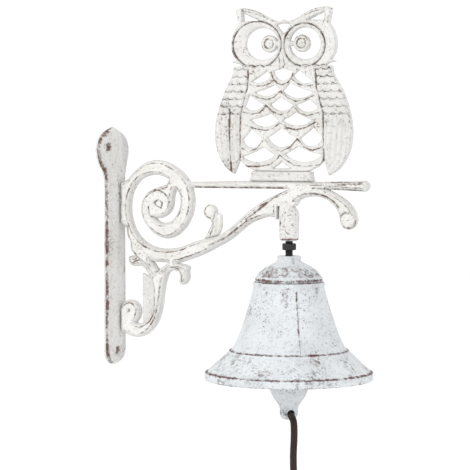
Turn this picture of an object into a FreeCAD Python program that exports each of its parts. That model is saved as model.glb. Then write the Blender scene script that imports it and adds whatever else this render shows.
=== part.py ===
import FreeCAD, Part
import math
import os

# Wall mounted bell: a cast iron bracket with a pierced owl on a perch, a bell
# on a threaded rod, and a clapper with a pull cord.
# Frame: millimetres, +Z up. The wall is the plane X = 0 and touches the back
# of the wall plate; the bracket reaches out along +X in the plane Y = 0.
# The origin is on the wall, half way up between the two screw holes.

os.makedirs("parts", exist_ok=True)
doc = FreeCAD.newDocument("wall_bell")
V = FreeCAD.Vector

SIZES = {
    # wall plate
    "plate_thick": 4.0, "strip_half": 15.5, "ridge_top": 7.5, "ridge_flat": 5.5,
    "ridge_foot": 13.0, "ridge_length": 148.0,
    "screw_radius": 2.25, "upper_screw_y": -15.0, "screw_z": 80.0,
    # flat castings
    "scroll_thick": 10.0, "web_thick": 3.0, "owl_thick": 6.0, "foot_thick": 9.0,
    "owl_x": 145.4, "head_x": 146.7, "perch_top": 55.0, "perch_under": 49.0,
    # hanging hardware, metric M6
    "bell_x": 151.0, "rod_radius": 3.0, "nut_flats": 10.0, "nut_height": 5.0,
    "boss_top": 36.0, "boss_under": 10.0, "socket_depth": 18.0,
    "lock_nut_z": 3.0, "inner_nut_z": -14.0,
    "washer_radius": 8.0, "washer_hole": 3.2, "washer_thick": 1.5, "washer_z": -8.8,
    # links of the clapper's hanger
    "link_azimuth": 38.0, "eye_ring": 6.0, "eye_wire": 2.0, "eye_z": -23.5,
    "ring_ring": 6.5, "ring_wire": 1.75, "link_gap": 0.05,
    "lug_ring": 4.8, "lug_wire": 2.0,
    # clapper and cord
    "stem_radius": 4.2, "drill_length": 40.0,
    "cord_hole_z": -121.0, "cord_hole": 2.95, "cord_radius": 2.65,
    "stop_knot_radius": 4.6, "stop_knot_at": 11.8, "end_knot_radius": 5.2,
}

sheet = doc.addObject("Spreadsheet::Sheet", "Sizes")
for row, (alias, value) in enumerate(SIZES.items(), start=1):
    sheet.set("A%d" % row, alias)
    sheet.set("B%d" % row, str(value))
    sheet.setAlias("B%d" % row, alias)
doc.recompute()


def size(alias):
    return float(getattr(sheet, alias))


nodes = []


def keep(thing, label, place=None):
    """Name a finished sub-part, set it in its place and list it for export."""
    thing.Label = label
    thing.Placement = place or FreeCAD.Placement(V(0, 0, 0), FreeCAD.Rotation())
    nodes.append(thing)
    return thing


# ---------------------------------------------------------------- drawing aids

def line(p, q):
    return Part.LineSegment(V(p[0], p[1], 0), V(q[0], q[1], 0))


def arc(p, through, q):
    return Part.Arc(V(p[0], p[1], 0), V(through[0], through[1], 0), V(q[0], q[1], 0))


def curve(points):
    """A smooth curve through the points, in order."""
    spline = Part.BSplineCurve()
    spline.interpolate([V(p[0], p[1], 0) for p in points])
    return spline


def polygon(points):
    return [line(p, q) for p, q in zip(points, points[1:] + points[:1])]


def mirrored(points):
    """The same points on the other side of the drawing's vertical axis."""
    return [(-p[0], p[1]) for p in points]


def plane_of(body, role):
    return [f for f in body.Origin.OriginFeatures if f.Role == role][0]


def sketch_on(body, name, role, edges):
    sketch = body.newObject("Sketcher::SketchObject", name)
    sketch.AttachmentSupport = [(plane_of(body, role), "")]
    sketch.MapMode = "FlatFace"
    sketch.addGeometry(edges, False)
    return sketch


def pad(body, name, role, edges, length):
    """Pad a closed outline, half to each side of its plane."""
    feature = body.newObject("PartDesign::Pad", name)
    feature.Profile = sketch_on(body, name + "_outline", role, edges)
    feature.Midplane = True
    feature.setExpression("Length", length)
    doc.recompute()
    return feature


def cut_through(body, name, role, edges):
    """Cut closed outlines right through the body, to both sides."""
    before = body.Shape.Volume
    feature = body.newObject("PartDesign::Pocket", name)
    feature.Profile = sketch_on(body, name + "_outline", role, edges)
    feature.Type = "ThroughAll"
    feature.Midplane = True
    doc.recompute()
    if not feature.Shape.Volume < before - 0.1:
        raise RuntimeError(name + " removed nothing")
    return feature


def new_body(name):
    return doc.addObject("PartDesign::Body", name)


# ------------------------------------------------------------------ wall plate
# A long strip with a spade-shaped upper end, its front raised to a flat ridge.

plate = new_body("PlateBody")
strip_half, strip_top, strip_foot = size("strip_half"), 54.0, -80.0
plate_edge = [
    line((-strip_half, strip_foot), (-strip_half, strip_top)),
    curve([(-strip_half, strip_top), (-17.5, 60), (-25, 68), (-28.5, 79), (-24, 88), (-12, 94),
           (-3, 96.5)]),
    curve([(-3, 96.5), (7, 93.5), (17, 88), (21.5, 79), (19, 68), (16, 60), (strip_half, strip_top)]),
    line((strip_half, strip_top), (strip_half, strip_foot)),
    curve([(strip_half, strip_foot), (11.5, -87.5), (0, -91), (-11.5, -87.5), (-strip_half, strip_foot)]),
]
slab = plate.newObject("PartDesign::Pad", "PlateSlab")
slab.Profile = sketch_on(plate, "PlateEdge", "YZ_Plane", plate_edge)
slab.setExpression("Length", "Sizes.plate_thick")
doc.recompute()
ridge = plate.newObject("PartDesign::Pad", "PlateRidge")
ridge_sunk = size("plate_thick") - 1
ridge_foot, ridge_flat = size("ridge_foot"), size("ridge_flat")
ridge.Profile = sketch_on(plate, "RidgeSection", "XY_Plane", polygon([
    (ridge_sunk, -ridge_foot), (size("plate_thick"), -ridge_foot), (size("ridge_top"), -ridge_flat),
    (size("ridge_top"), ridge_flat), (size("plate_thick"), ridge_foot), (ridge_sunk, ridge_foot)]))
ridge.Midplane = True
ridge.setExpression("Length", "Sizes.ridge_length")
doc.recompute()
screws = [(size("upper_screw_y"), size("screw_z")), (0.0, -size("screw_z"))]
cut_through(plate, "ScrewHoles", "YZ_Plane", [
    Part.Circle(V(y, z, 0), V(0, 0, 1), size("screw_radius")) for y, z in screws])
keep(plate, "wall_plate")

# -------------------------------------------------------------- spiral scroll
# One spiral band of two turns. It stands on the plate's ridge at its left,
# carries the perch at its upper right and runs on into the arm at the bottom.

RIDGE = size("ridge_top")
UNDER = size("perch_under")
ARM_TOP, ARM_LOW = (63.0, 4.1), (66.5, -7.0)
PERCH_LOW, PERCH_HIGH = (69.8, UNDER), (67.8, 53.8)
LEAF_LINE = [(33.0, -7.0), (16.5, 5.5)]
BASE_LINE = [(58.0, -9.3), (40.0, -9.3)]

scroll = new_body("ScrollBody")
band = [
    curve([ARM_LOW, (62, -8.6), BASE_LINE[0]]),
    line(*BASE_LINE),
    curve([BASE_LINE[1], (36.5, -8.8), LEAF_LINE[0]]),
    line(*LEAF_LINE),
    curve([LEAF_LINE[1], (14, 10), (12.8, 17)]),
    line((12.8, 17), (RIDGE, 21)),
    line((RIDGE, 21), (RIDGE, 52)),
    line((RIDGE, 52), (14.5, 55.5)),
    curve([(14.5, 55.5), (21.3, 62.7), (28.5, 67.8), (37, 70.4), (46, 69.7), (54.5, 66.3), (62, 60.8),
           PERCH_HIGH]),
    line(PERCH_HIGH, PERCH_LOW),
    curve([PERCH_LOW, (71.6, 38), (69.6, 27.8), (62, 15.8), (49.1, 9.3), (33.8, 15.9), (25.8, 30),
           (29.5, 43.2), (38, 48.5), (47.5, 51.3)]),
    line((47.5, 51.3), (50, 55.2)),
    curve([(50, 55.2), (38.5, 58.6), (25, 54.2), (17.4, 42), (17.4, 24), (25.6, 9.4), (39, 2.5),
           (53.6, 2), ARM_TOP]),
    line(ARM_TOP, ARM_LOW),
]
pad(scroll, "Spiral", "XZ_Plane", band, "Sizes.scroll_thick")
inner_gap = [
    curve([(56, 47.5), (59.4, 43), (59.2, 33.6), (52.2, 23.6), (44, 21.8), (38.5, 25.3)]),
    curve([(38.5, 25.3), (46, 26.2), (52.5, 32.5), (54, 40), (56, 47.5)]),
]
cut_through(scroll, "SpiralGap", "XZ_Plane", inner_gap)
keep(scroll, "scroll")

# ------------------------------------------------------------------------- arm
# Rises from the scroll to the underside of the perch and curls down to a ball.

BUD_LINE = [(78.0, 9.3), (93.0, 12.8)]
SHOULDER_LOW = (142.9, 23.5)
BOSS_LINE = [(142.9, size("boss_top")), (156.5, size("boss_top"))]
ball, ball_radius = (200.0, 26.3), 6.9
BALL_LEFT, BALL_RIGHT = (ball[0] - ball_radius, ball[1]), (ball[0] + ball_radius, ball[1])
arm = new_body("ArmBody")
arm_edge = [
    curve([ARM_LOW, (79.7, -2.3), (93.9, 4.7), (104.6, 10.8), (121.5, 23.4), (129, 26.2), (136, 27.9), (140.6, 26.8),
           SHOULDER_LOW]),
    line(SHOULDER_LOW, BOSS_LINE[0]),
    line(*BOSS_LINE),
    curve([BOSS_LINE[1], (161, 41.0), (170, 43.6), (180.8, 42.2), (189.2, 36), BALL_LEFT]),
    arc(BALL_LEFT, (ball[0], ball[1] - ball_radius), BALL_RIGHT),
    curve([BALL_RIGHT, (205, 33.4), (196.8, 42.3), (184, UNDER)]),
    line((184, UNDER), (151, UNDER)),
    curve([(151, UNDER), (136, 42.9), (117.7, 31.7), (106, 22), BUD_LINE[1]]),
    line(BUD_LINE[1], BUD_LINE[0]),
    curve([BUD_LINE[0], (70, 7), ARM_TOP]),
    line(ARM_TOP, ARM_LOW),
]
pad(arm, "ArmPad", "XZ_Plane", arm_edge, "Sizes.scroll_thick")
keep(arm, "arm")

# A leaf bud on the arm: a ball on a stalk with a second lobe behind it.
bud = new_body("BudBody")
bud_edge = [
    line((79.5, 9.65), (92.0, 12.5666667)),
    curve([(92.0, 12.5666667), (94.6, 17), (95.6, 23), (94.8, 29.6)]),
    line((94.8, 29.6), (90.5, 30.2)),
    arc((90.5, 30.2), (81, 35), (84.2, 25.2)),
    line((84.2, 25.2), (87, 22.5)),
    curve([(87, 22.5), (84.2, 17), (79.5, 9.65)]),
]
pad(bud, "BudPad", "XZ_Plane", bud_edge, "Sizes.owl_thick")
keep(bud, "leaf_bud")

# ----------------------------------------------------------------- lower scroll
# The stem comes down from the fork, sweeps back to the plate and ends in a curl.

FORK_LEFT, FORK_MID, FORK_RIGHT = (34.0, -21.3), (41.3, -15.6), (48.0, -21.0)
curl, curl_radius = (16.2, -48.0), 8.7
CURL_RIGHT = (curl[0] + curl_radius, curl[1])
stem = new_body("StemBody")
stem_edge = [
    line(FORK_LEFT, FORK_MID),
    line(FORK_MID, FORK_RIGHT),
    curve([FORK_RIGHT, (45.2, -33), (42.6, -49), (36, -61.5), (25, -68.3), (15, -67.3), (RIDGE, -63.5)]),
    line((RIDGE, -63.5), (RIDGE, curl[1])),
    arc((RIDGE, curl[1]), (curl[0], curl[1] + curl_radius), CURL_RIGHT),
    curve([CURL_RIGHT, (24, -52.8), (21, -57.2)]),
    curve([(21, -57.2), (28, -56.6), (34, -50.5), (36.2, -38), (35.8, -28), FORK_LEFT]),
]
pad(stem, "StemPad", "XZ_Plane", stem_edge, "Sizes.scroll_thick")
pad(stem, "StemWeb", "XZ_Plane", polygon([
    (26.5, -17.5), FORK_LEFT, (37.5, -28), (38, -42), (32, -56), (26.5, -58.5)]), "Sizes.web_thick")
keep(stem, "lower_scroll")

leaf_left = new_body("LeafLeftBody")
left_edge = [
    line(FORK_LEFT, FORK_MID),
    curve([FORK_MID, (38.6, -12.2), (36.4, -9.4)]),
    line((36.4, -9.4), LEAF_LINE[0]),
    line(*LEAF_LINE),
    curve([LEAF_LINE[1], (16.4, 1), (20.8, -4.8)]),
    curve([(20.8, -4.8), (14.4, -6.8), (18.3, -12.8), (26.5, -13), (30.3, -16.4), FORK_LEFT]),
]
pad(leaf_left, "LeafLeftPad", "XZ_Plane", left_edge, "Sizes.scroll_thick")
keep(leaf_left, "leaf_left")

leaf_right = new_body("LeafRightBody")
right_edge = [
    line(FORK_MID, FORK_RIGHT),
    curve([FORK_RIGHT, (50.3, -17), (54.4, -15.4), (58.6, -17.2), (59.6, -20), (58.8, -23)]),
    curve([(58.8, -23), (60.2, -25.6), (63.1, -26), (66.8, -22.4), (67.2, -18), (66.8, -15.6)]),
    curve([(66.8, -15.6), (67.6, -12.6), (63, -10.2), (57, -9.3)]),
    line((57, -9.3), (49.4, -9.3)),
    curve([(49.4, -9.3), (45.2, -12), FORK_MID]),
]
pad(leaf_right, "LeafRightPad", "XZ_Plane", right_edge, "Sizes.scroll_thick")
keep(leaf_right, "leaf_right")

# ------------------------------------------------------------------- perch bar

TOP = size("perch_top")
tip_x, tip_radius, tip_under = 212.4, 4.2, UNDER - 1.2
perch = new_body("PerchBody")
perch_edge = [
    line(PERCH_LOW, (186, UNDER)),
    line((186, UNDER), (tip_x, tip_under)),
    arc((tip_x, tip_under), (tip_x + tip_radius, tip_under + tip_radius), (tip_x, tip_under + 2 * tip_radius)),
    line((tip_x, tip_under + 2 * tip_radius), (178, TOP)),
    line((178, TOP), (117, TOP)),
    line((117, TOP), PERCH_HIGH),
    line(PERCH_HIGH, PERCH_LOW),
]
pad(perch, "PerchPad", "XZ_Plane", perch_edge, "Sizes.scroll_thick")
keep(perch, "perch_bar")

# --------------------------------------------------------------------- the owl
# Drawn around its own middle line; heights are above the top of the perch.

at_owl = FreeCAD.Placement(V(size("owl_x"), 0, TOP), FreeCAD.Rotation())
SHOULDER, FOOT = 87.0, 7.5
FLANK = [(22.0, FOOT), (30.0, 11.0), (34.8, 16.0), (34.8, 51.0), (28.0, 71.0), (28.0, SHOULDER)]

foot = new_body("FootBody")
pad(foot, "FootPad", "XZ_Plane", [
    line((-26.6, 0), (26.6, 0)),
    curve([(26.6, 0), (25.3, 3), (25.0, FOOT)]),
    line((25.0, FOOT), (-25.0, FOOT)),
    curve([(-25.0, FOOT), (-25.3, 3), (-26.6, 0)]),
], "Sizes.foot_thick")
keep(foot, "owl_foot", at_owl)


def feather_window(left, peak, right, bottom):
    """A window between feather scales: round below, its two upper sides bowed a little."""
    sides = []
    for start, end in ((right, peak), (peak, left)):
        bow = 0.04 * math.hypot(end[0] - start[0], end[1] - start[1])
        middle = ((start[0] + end[0]) / 2, (start[1] + end[1]) / 2 - bow)
        sides.append(arc(start, middle, end))
    return [arc(left, bottom, right)] + sides


# Each window by its left corner, peak, right corner and lowest point.
FEATHER_WINDOWS = [
    ((-25.0, 75.5), (-11.8, 84.0), (-9.6, 79.5), (-17.3, 74.8)),
    ((-7.0, 83.2), (0.8, 85.4), (8.5, 83.0), (0.8, 76.3)),
    ((9.4, 79.8), (13.7, 84.0), (25.2, 75.4), (17.5, 74.0)),
    ((-22.5, 67.3), (-6.0, 72.8), (-2.2, 69.5), (-11.5, 64.8)),
    ((0.6, 68.2), (6.4, 74.6), (25.4, 67.0), (12.6, 63.0)),
    ((-31.0, 56.5), (-27.2, 65.4), (-15.0, 58.0), (-24.0, 53.8)),
    ((-9.5, 58.0), (-1.0, 64.0), (9.0, 57.5), (0.0, 53.4)),
    ((11.5, 57.5), (22.8, 62.0), (29.5, 56.0), (21.5, 52.5)),
    ((-26.0, 46.5), (-9.0, 51.3), (-2.8, 46.0), (-12.0, 41.5)),
    ((0.5, 46.0), (11.5, 52.2), (24.5, 46.3), (12.5, 42.2)),
    ((-32.6, 31.5), (-25.5, 39.8), (-17.0, 33.0), (-26.5, 25.5)),
    ((-11.8, 33.0), (-0.8, 40.3), (11.5, 33.0), (0.0, 26.0)),
    ((15.0, 32.5), (25.5, 41.0), (32.7, 34.0), (26.5, 27.0)),
    ((-33.0, 18.2), (-15.2, 26.0), (-6.0, 20.0), (-20.5, 14.5)),
    ((2.6, 20.5), (13.2, 26.4), (32.6, 20.0), (19.0, 14.8)),
]

breast = new_body("BreastBody")
pad(breast, "BreastPad", "XZ_Plane", polygon(FLANK + mirrored(FLANK)[::-1]), "Sizes.owl_thick")
windows = []
for corners in FEATHER_WINDOWS:
    windows += feather_window(*corners)
windows += [
    line((-7, 9.8), (7, 9.8)),
    curve([(7, 9.8), (3.5, 12), (0, 15)]),
    curve([(0, 15), (-3.5, 12), (-7, 9.8)]),
]
cut_through(breast, "FeatherWindows", "XZ_Plane", windows)
keep(breast, "owl_breast", at_owl)

OUTER_RIGHT = [(34.8, 16.0), (38.4, 4.6), (46.0, 9.0), (54.0, 20.0), (57.2, 40.0), (54.2, 56.0),
               (47.2, 72.5), (42.0, 81.5), (41.0, SHOULDER)]
OUTER_LEFT = [(34.8, 16.0), (39.6, 5.0), (45.6, 9.0), (53.0, 20.0), (55.8, 40.0), (52.2, 56.0),
              (45.4, 72.5), (41.0, 81.5), (40.0, SHOULDER)]
for label, flip, outer in (("owl_wing_left", mirrored, OUTER_LEFT), ("owl_wing_right", list, OUTER_RIGHT)):
    wing = new_body(label + "_body")
    inner = flip(FLANK[2:])
    rim = flip(outer)
    pad(wing, label + "_pad", "XZ_Plane", [
        line(inner[0], inner[1]),
        line(inner[1], inner[2]),
        line(inner[2], inner[3]),
        line(inner[3], rim[-1]),
        curve(rim[1:][::-1]),
        line(rim[1], rim[0]),
    ], "Sizes.owl_thick")
    keep(wing, label, at_owl)

at_head = FreeCAD.Placement(V(size("head_x"), 0, TOP), FreeCAD.Rotation())
CHIN, EYE_Z = SHOULDER, 103.8
EYES = [(-17.4, 13.6, 11.9), (17.7, 12.7, 11.8)]
BROW = [(0, 122.4), (4.5, 120.8), (9, 122), (17, 126.5), (27, 130.2), (36.5, 131.2)]
EAR = [(39.6, 129.8), (38.2, 122), (37.6, 118.5)]
CHEEK = [(37.6, 118.5), (42.2, 110.5), (43.4, 102.5), (41.6, 95.0), (38.8, 91.6)]
TUFT = [(38.8, 91.6), (44.0, 90.2), (37.0, 88.6), (34.0, CHIN)]
head = new_body("HeadBody")
head_edge = [line((-TUFT[-1][0], CHIN), TUFT[-1])]
for flip in (list, mirrored):
    head_edge += [curve(flip(BROW)), line(*flip([BROW[-1], EAR[0]]))]
    head_edge += [curve(flip(EAR)), curve(flip(CHEEK))]
    tuft = flip(TUFT)
    head_edge += [line(p, q) for p, q in zip(tuft, tuft[1:])]
pad(head, "HeadPad", "XZ_Plane", head_edge, "Sizes.owl_thick")
openings = [Part.Ellipse(V(x, EYE_Z, 0), half_width, half_height) for x, half_width, half_height in EYES]
for side in (-1, 1):
    openings += polygon([(side * 20.5, 121.5), (side * 33.2, 121.2), (side * 33.6, 127.2)])
openings += [
    curve([(-5.6, 117.6), (0, 118.8), (5.6, 117.6)]),
    line((5.6, 117.6), (0, 111)),
    line((0, 111), (-5.6, 117.6)),
]
cut_through(head, "EyesAndEars", "XZ_Plane", openings)
pupil_radius = 6.7
bridge_start, bridge_end, bridge_half = 3.2, 10.0, 2.0
for side, name, pupil_x in ((-1, "Left", -11.6), (1, "Right", 15.0)):
    ring = Part.Circle(V(pupil_x, EYE_Z, 0), V(0, 0, 1), pupil_radius)
    pad(head, name + "Pupil", "XZ_Plane", [ring], "Sizes.owl_thick")
    bridge = polygon([(side * x, EYE_Z + z) for x, z in (
        (bridge_start, -bridge_half), (bridge_end, -bridge_half),
        (bridge_end, bridge_half), (bridge_start, bridge_half))])
    pad(head, name + "Bridge", "XZ_Plane", bridge, "Sizes.owl_thick")
keep(head, "owl_head", at_head)

# ------------------------------------------------------ boss, rod, nuts, washer

BELL_X = size("bell_x")
at_bell = FreeCAD.Placement(V(BELL_X, 0, 0), FreeCAD.Rotation())


def turned(label, section, place=at_bell):
    """A piece turned about the upright axis from a closed half section."""
    body = new_body(label + "_body")
    feature = body.newObject("PartDesign::Revolution", label + "_turn")
    sketch = sketch_on(body, label + "_section", "XZ_Plane", section)
    feature.Profile = sketch
    feature.ReferenceAxis = (sketch, ["V_Axis"])
    feature.Angle = 360.0
    doc.recompute()
    return keep(body, label, place)


rod = size("rod_radius")
boss_under, socket = size("boss_under"), size("boss_under") + size("socket_depth")
boss_side = [(6.4, boss_under), (7.4, boss_under + 1.4), (8.0, 30.0), (8.0, size("boss_top"))]
turned("bell_boss", polygon(
    [(rod, boss_under)] + boss_side + [(0.0, size("boss_top")), (0.0, socket), (rod, socket)]))

azimuth = math.radians(size("link_azimuth"))
ALONG = V(math.sin(azimuth), -math.cos(azimuth), 0)
ACROSS = V(math.cos(azimuth), math.sin(azimuth), 0)


def placed_along(direction, z):
    return FreeCAD.Placement(V(BELL_X, 0, z), FreeCAD.Rotation(V(0, 0, 1), direction))


shank = doc.addObject("Part::Cylinder", "RodShank")
shank.setExpression("Radius", "Sizes.rod_radius")
shank.setExpression("Height", "Sizes.boss_under + Sizes.socket_depth - Sizes.eye_z - Sizes.eye_ring")
shank.Placement = FreeCAD.Placement(V(BELL_X, 0, size("eye_z") + size("eye_ring")), FreeCAD.Rotation())
eye = doc.addObject("Part::Torus", "RodEye")
eye.setExpression("Radius1", "Sizes.eye_ring")
eye.setExpression("Radius2", "Sizes.eye_wire")
eye.Placement = placed_along(ALONG, size("eye_z"))
hanger = doc.addObject("Part::Fuse", "RodWithEye")
hanger.Base = shank
hanger.Tool = eye
keep(hanger, "hanger_rod")


def hexagon(flats):
    reach = flats / math.sqrt(3)
    angles = [math.radians(60 * k) for k in range(6)]
    return polygon([(reach * math.cos(a), reach * math.sin(a)) for a in angles])


for label, alias in (("lock_nut", "lock_nut_z"), ("inner_nut", "inner_nut_z")):
    nut = new_body(label + "_body")
    feature = nut.newObject("PartDesign::Pad", label + "_pad")
    bore = Part.Circle(V(0, 0, 0), V(0, 0, 1), rod)
    feature.Profile = sketch_on(nut, label + "_hex", "XY_Plane", hexagon(size("nut_flats")) + [bore])
    feature.setExpression("Length", "Sizes.nut_height")
    doc.recompute()
    keep(nut, label, FreeCAD.Placement(V(BELL_X, 0, size(alias)), FreeCAD.Rotation()))

washer = new_body("WasherBody")
washer_pad = washer.newObject("PartDesign::Pad", "WasherPad")
washer_pad.Profile = sketch_on(washer, "WasherRings", "XY_Plane", [
    Part.Circle(V(0, 0, 0), V(0, 0, 1), size("washer_radius")),
    Part.Circle(V(0, 0, 0), V(0, 0, 1), size("washer_hole"))])
washer_pad.setExpression("Length", "Sizes.washer_thick")
doc.recompute()
keep(washer, "seat_washer", FreeCAD.Placement(V(BELL_X, 0, size("washer_z")), FreeCAD.Rotation()))

# -------------------------------------------------------------------- the bell

turned("bell", [
    line((4.25, -6.7), (4.25, -1.5)),
    line((4.25, -1.5), (8.9, -1.5)),
    curve([(8.9, -1.5), (9.2, -4.8), (11.2, -6.6), (14.8, -8.4), (18.2, -10.4), (20.9, -12.5), (22.8, -14.5),
           (24.5, -16.8)]),
    line((24.5, -16.8), (25.4, -17.6)),
    line((25.4, -17.6), (25.6, -20.8)),
    line((25.6, -20.8), (27.2, -21.4)),
    line((27.2, -21.4), (27.3, -24)),
    line((27.3, -24), (26.8, -25)),
    curve([(26.8, -25), (30.0, -37), (33.3, -47.5), (36.7, -58), (40.8, -67.8), (43.4, -72)]),
    line((43.4, -72), (44.6, -72.6)),
    line((44.6, -72.6), (45.8, -74)),
    curve([(45.8, -74), (50.6, -78.6), (56.4, -83.9), (61.8, -88.6)]),
    line((61.8, -88.6), (63.9, -90)),
    line((63.9, -90), (64.1, -94.2)),
    line((64.1, -94.2), (62.9, -95.4)),
    line((62.9, -95.4), (59.4, -95.4)),
    curve([(59.4, -95.4), (55.8, -89.8), (48.2, -82), (41.6, -75.6), (37.0, -68), (32.4, -56), (28.6, -44),
           (23.7, -30), (21.0, -21.5), (15.6, -13.6), (9.9, -8.4)]),
    line((9.9, -8.4), (9.0, -6.7)),
    line((9.0, -6.7), (4.25, -6.7)),
])

# ------------------------------------------------------ ring, clapper and cord

eye_low = size("eye_z") - size("eye_ring")
ring_high = eye_low + size("eye_wire") + size("ring_wire") + size("link_gap")
ring_low = ring_high - 2 * size("ring_ring")
lug_high = ring_low + size("ring_wire") + size("lug_wire") + size("link_gap")
lug_z = lug_high - size("lug_ring")
lug_low = lug_z - size("lug_ring")

ring = doc.addObject("Part::Torus", "ClapperRing")
ring.setExpression("Radius1", "Sizes.ring_ring")
ring.setExpression("Radius2", "Sizes.ring_wire")
keep(ring, "clapper_ring", placed_along(ACROSS, ring_high - size("ring_ring")))

stem_radius = size("stem_radius")
drop = new_body("DropBody")
drop_turn = drop.newObject("PartDesign::Revolution", "DropTurn")
drop_section = sketch_on(drop, "DropSection", "XZ_Plane", [
    line((0, lug_low + 0.6), (stem_radius, lug_low - 1.4)),
    line((stem_radius, lug_low - 1.4), (stem_radius, -70)),
    curve([(stem_radius, -70), (7, -79), (13, -87), (17.2, -94.5), (15.2, -102), (11, -110.6),
           (7.6, -115.6), (6.9, -118.6)]),
    line((6.9, -118.6), (6.9, -121.6)),
    curve([(6.9, -121.6), (5.4, -124.8), (0, -126.4)]),
    line((0, -126.4), (0, lug_low + 0.6)),
])
drop_turn.Profile = drop_section
drop_turn.ReferenceAxis = (drop_section, ["V_Axis"])
drop_turn.Angle = 360.0
doc.recompute()
drop.Placement = at_bell
lug = doc.addObject("Part::Torus", "ClapperEye")
lug.setExpression("Radius1", "Sizes.lug_ring")
lug.setExpression("Radius2", "Sizes.lug_wire")
lug.Placement = placed_along(ALONG, lug_z)
solid_drop = doc.addObject("Part::Fuse", "DropWithEye")
solid_drop.Base = drop
solid_drop.Tool = lug
drill = doc.addObject("Part::Cylinder", "CordDrill")
drill.setExpression("Radius", "Sizes.cord_hole")
drill.setExpression("Height", "Sizes.drill_length")
drill.Placement = FreeCAD.Placement(
    V(BELL_X, 0, size("cord_hole_z")) - ALONG * (size("drill_length") / 2),
    FreeCAD.Rotation(V(0, 0, 1), ALONG))
clapper = doc.addObject("Part::Cut", "DrilledDrop")
clapper.Base = solid_drop
clapper.Tool = drill
keep(clapper, "clapper")

# The cord lies through the hole, bends down over its edge and hangs.
# A stop knot holds it behind the clapper and a second knot ends it.
hole = V(BELL_X, 0, size("cord_hole_z"))


def cord_point(along, across, down):
    return hole + ALONG * along + ACROSS * across + V(0, 0, -down)


stop_at = size("stop_knot_at")
route = [
    cord_point(-stop_at, 0, 0),
    cord_point(13.2, 0, 0),
    cord_point(13.6, 0.9, 14.0),
    cord_point(13.0, -0.2, 34.0),
    cord_point(13.6, 1.8, 72.0),
    cord_point(12.6, -0.8, 126.0),
    cord_point(13.2, -2.8, 174.0),
]


def swept_cord(points, radius):
    """Straight runs joined by tangent arcs, and the round cord along them."""
    edges = []
    start = points[0]
    for before, corner, after in zip(points, points[1:], points[2:]):
        back = (before - corner).normalize()
        ahead = (after - corner).normalize()
        shorter = min((corner - before).Length, (after - corner).Length)
        half_turn = (math.pi - back.getAngle(ahead)) / 2
        bend = 0.45 * shorter / math.tan(half_turn)
        print("cord bend radius %.1f mm" % bend)
        enter = corner + back * (bend * math.tan(half_turn))
        leave = corner + ahead * (bend * math.tan(half_turn))
        toward = (back + ahead).normalize()
        middle = corner + toward * (bend / math.cos(half_turn) - bend)
        edges.append(Part.LineSegment(start, enter).toShape())
        edges.append(Part.Arc(enter, middle, leave).toShape())
        start = leave
    edges.append(Part.LineSegment(start, points[-1]).toShape())
    path = Part.Wire(edges)
    first = (points[1] - points[0]).normalize()
    section = Part.Wire([Part.Circle(points[0], first, radius).toShape()])
    solid = path.makePipeShell([section], True, True)
    expected = math.pi * radius ** 2 * path.Length
    print("cord length %.1f mm, volume %.0f of %.0f mm3" % (path.Length, solid.Volume, expected))
    if abs(solid.Volume / expected - 1) > 0.01:
        raise RuntimeError("the cord's volume is off")
    return solid


cord = doc.addObject("Part::Feature", "Cord")
cord.Shape = swept_cord(route, size("cord_radius"))
keep(cord, "pull_cord")

KNOTS = (("cord_stop_knot", "stop_knot_radius", route[0]), ("cord_end_knot", "end_knot_radius", route[-1]))
for label, alias, centre in KNOTS:
    knot = doc.addObject("Part::Sphere", label + "_ball")
    knot.setExpression("Radius", "Sizes." + alias)
    keep(knot, label, FreeCAD.Placement(centre, FreeCAD.Rotation()))

# ---------------------------------------------------------------------- export

doc.recompute()
for thing in doc.Objects:
    if "Invalid" in thing.State or "Error" in thing.State:
        raise RuntimeError(thing.Name + " did not compute")
for node in nodes:
    if node.Shape.isNull() or not node.Shape.isValid():
        raise RuntimeError(node.Label + " has a bad shape")
    if len(node.Shape.Solids) != 1:
        raise RuntimeError("%s has %d solids" % (node.Label, len(node.Shape.Solids)))
    node.Shape.exportStep("parts/" + node.Label + ".step")
    box = node.Shape.BoundBox
    print("%-16s %9.0f mm3  X %.1f..%.1f Y %.1f..%.1f Z %.1f..%.1f" % (
        node.Label, node.Shape.Volume, box.XMin, box.XMax, box.YMin, box.YMax, box.ZMin, box.ZMax))
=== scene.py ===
# %% [markdown]
# # A wall mounted bell with a cast owl
# A white painted iron bracket holds a bell on a threaded rod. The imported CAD
# model gives the frame: which casting sits where, and which ones move. This
# lesson puts the finished surfaces on that frame, one kind of piece at a time.

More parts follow.
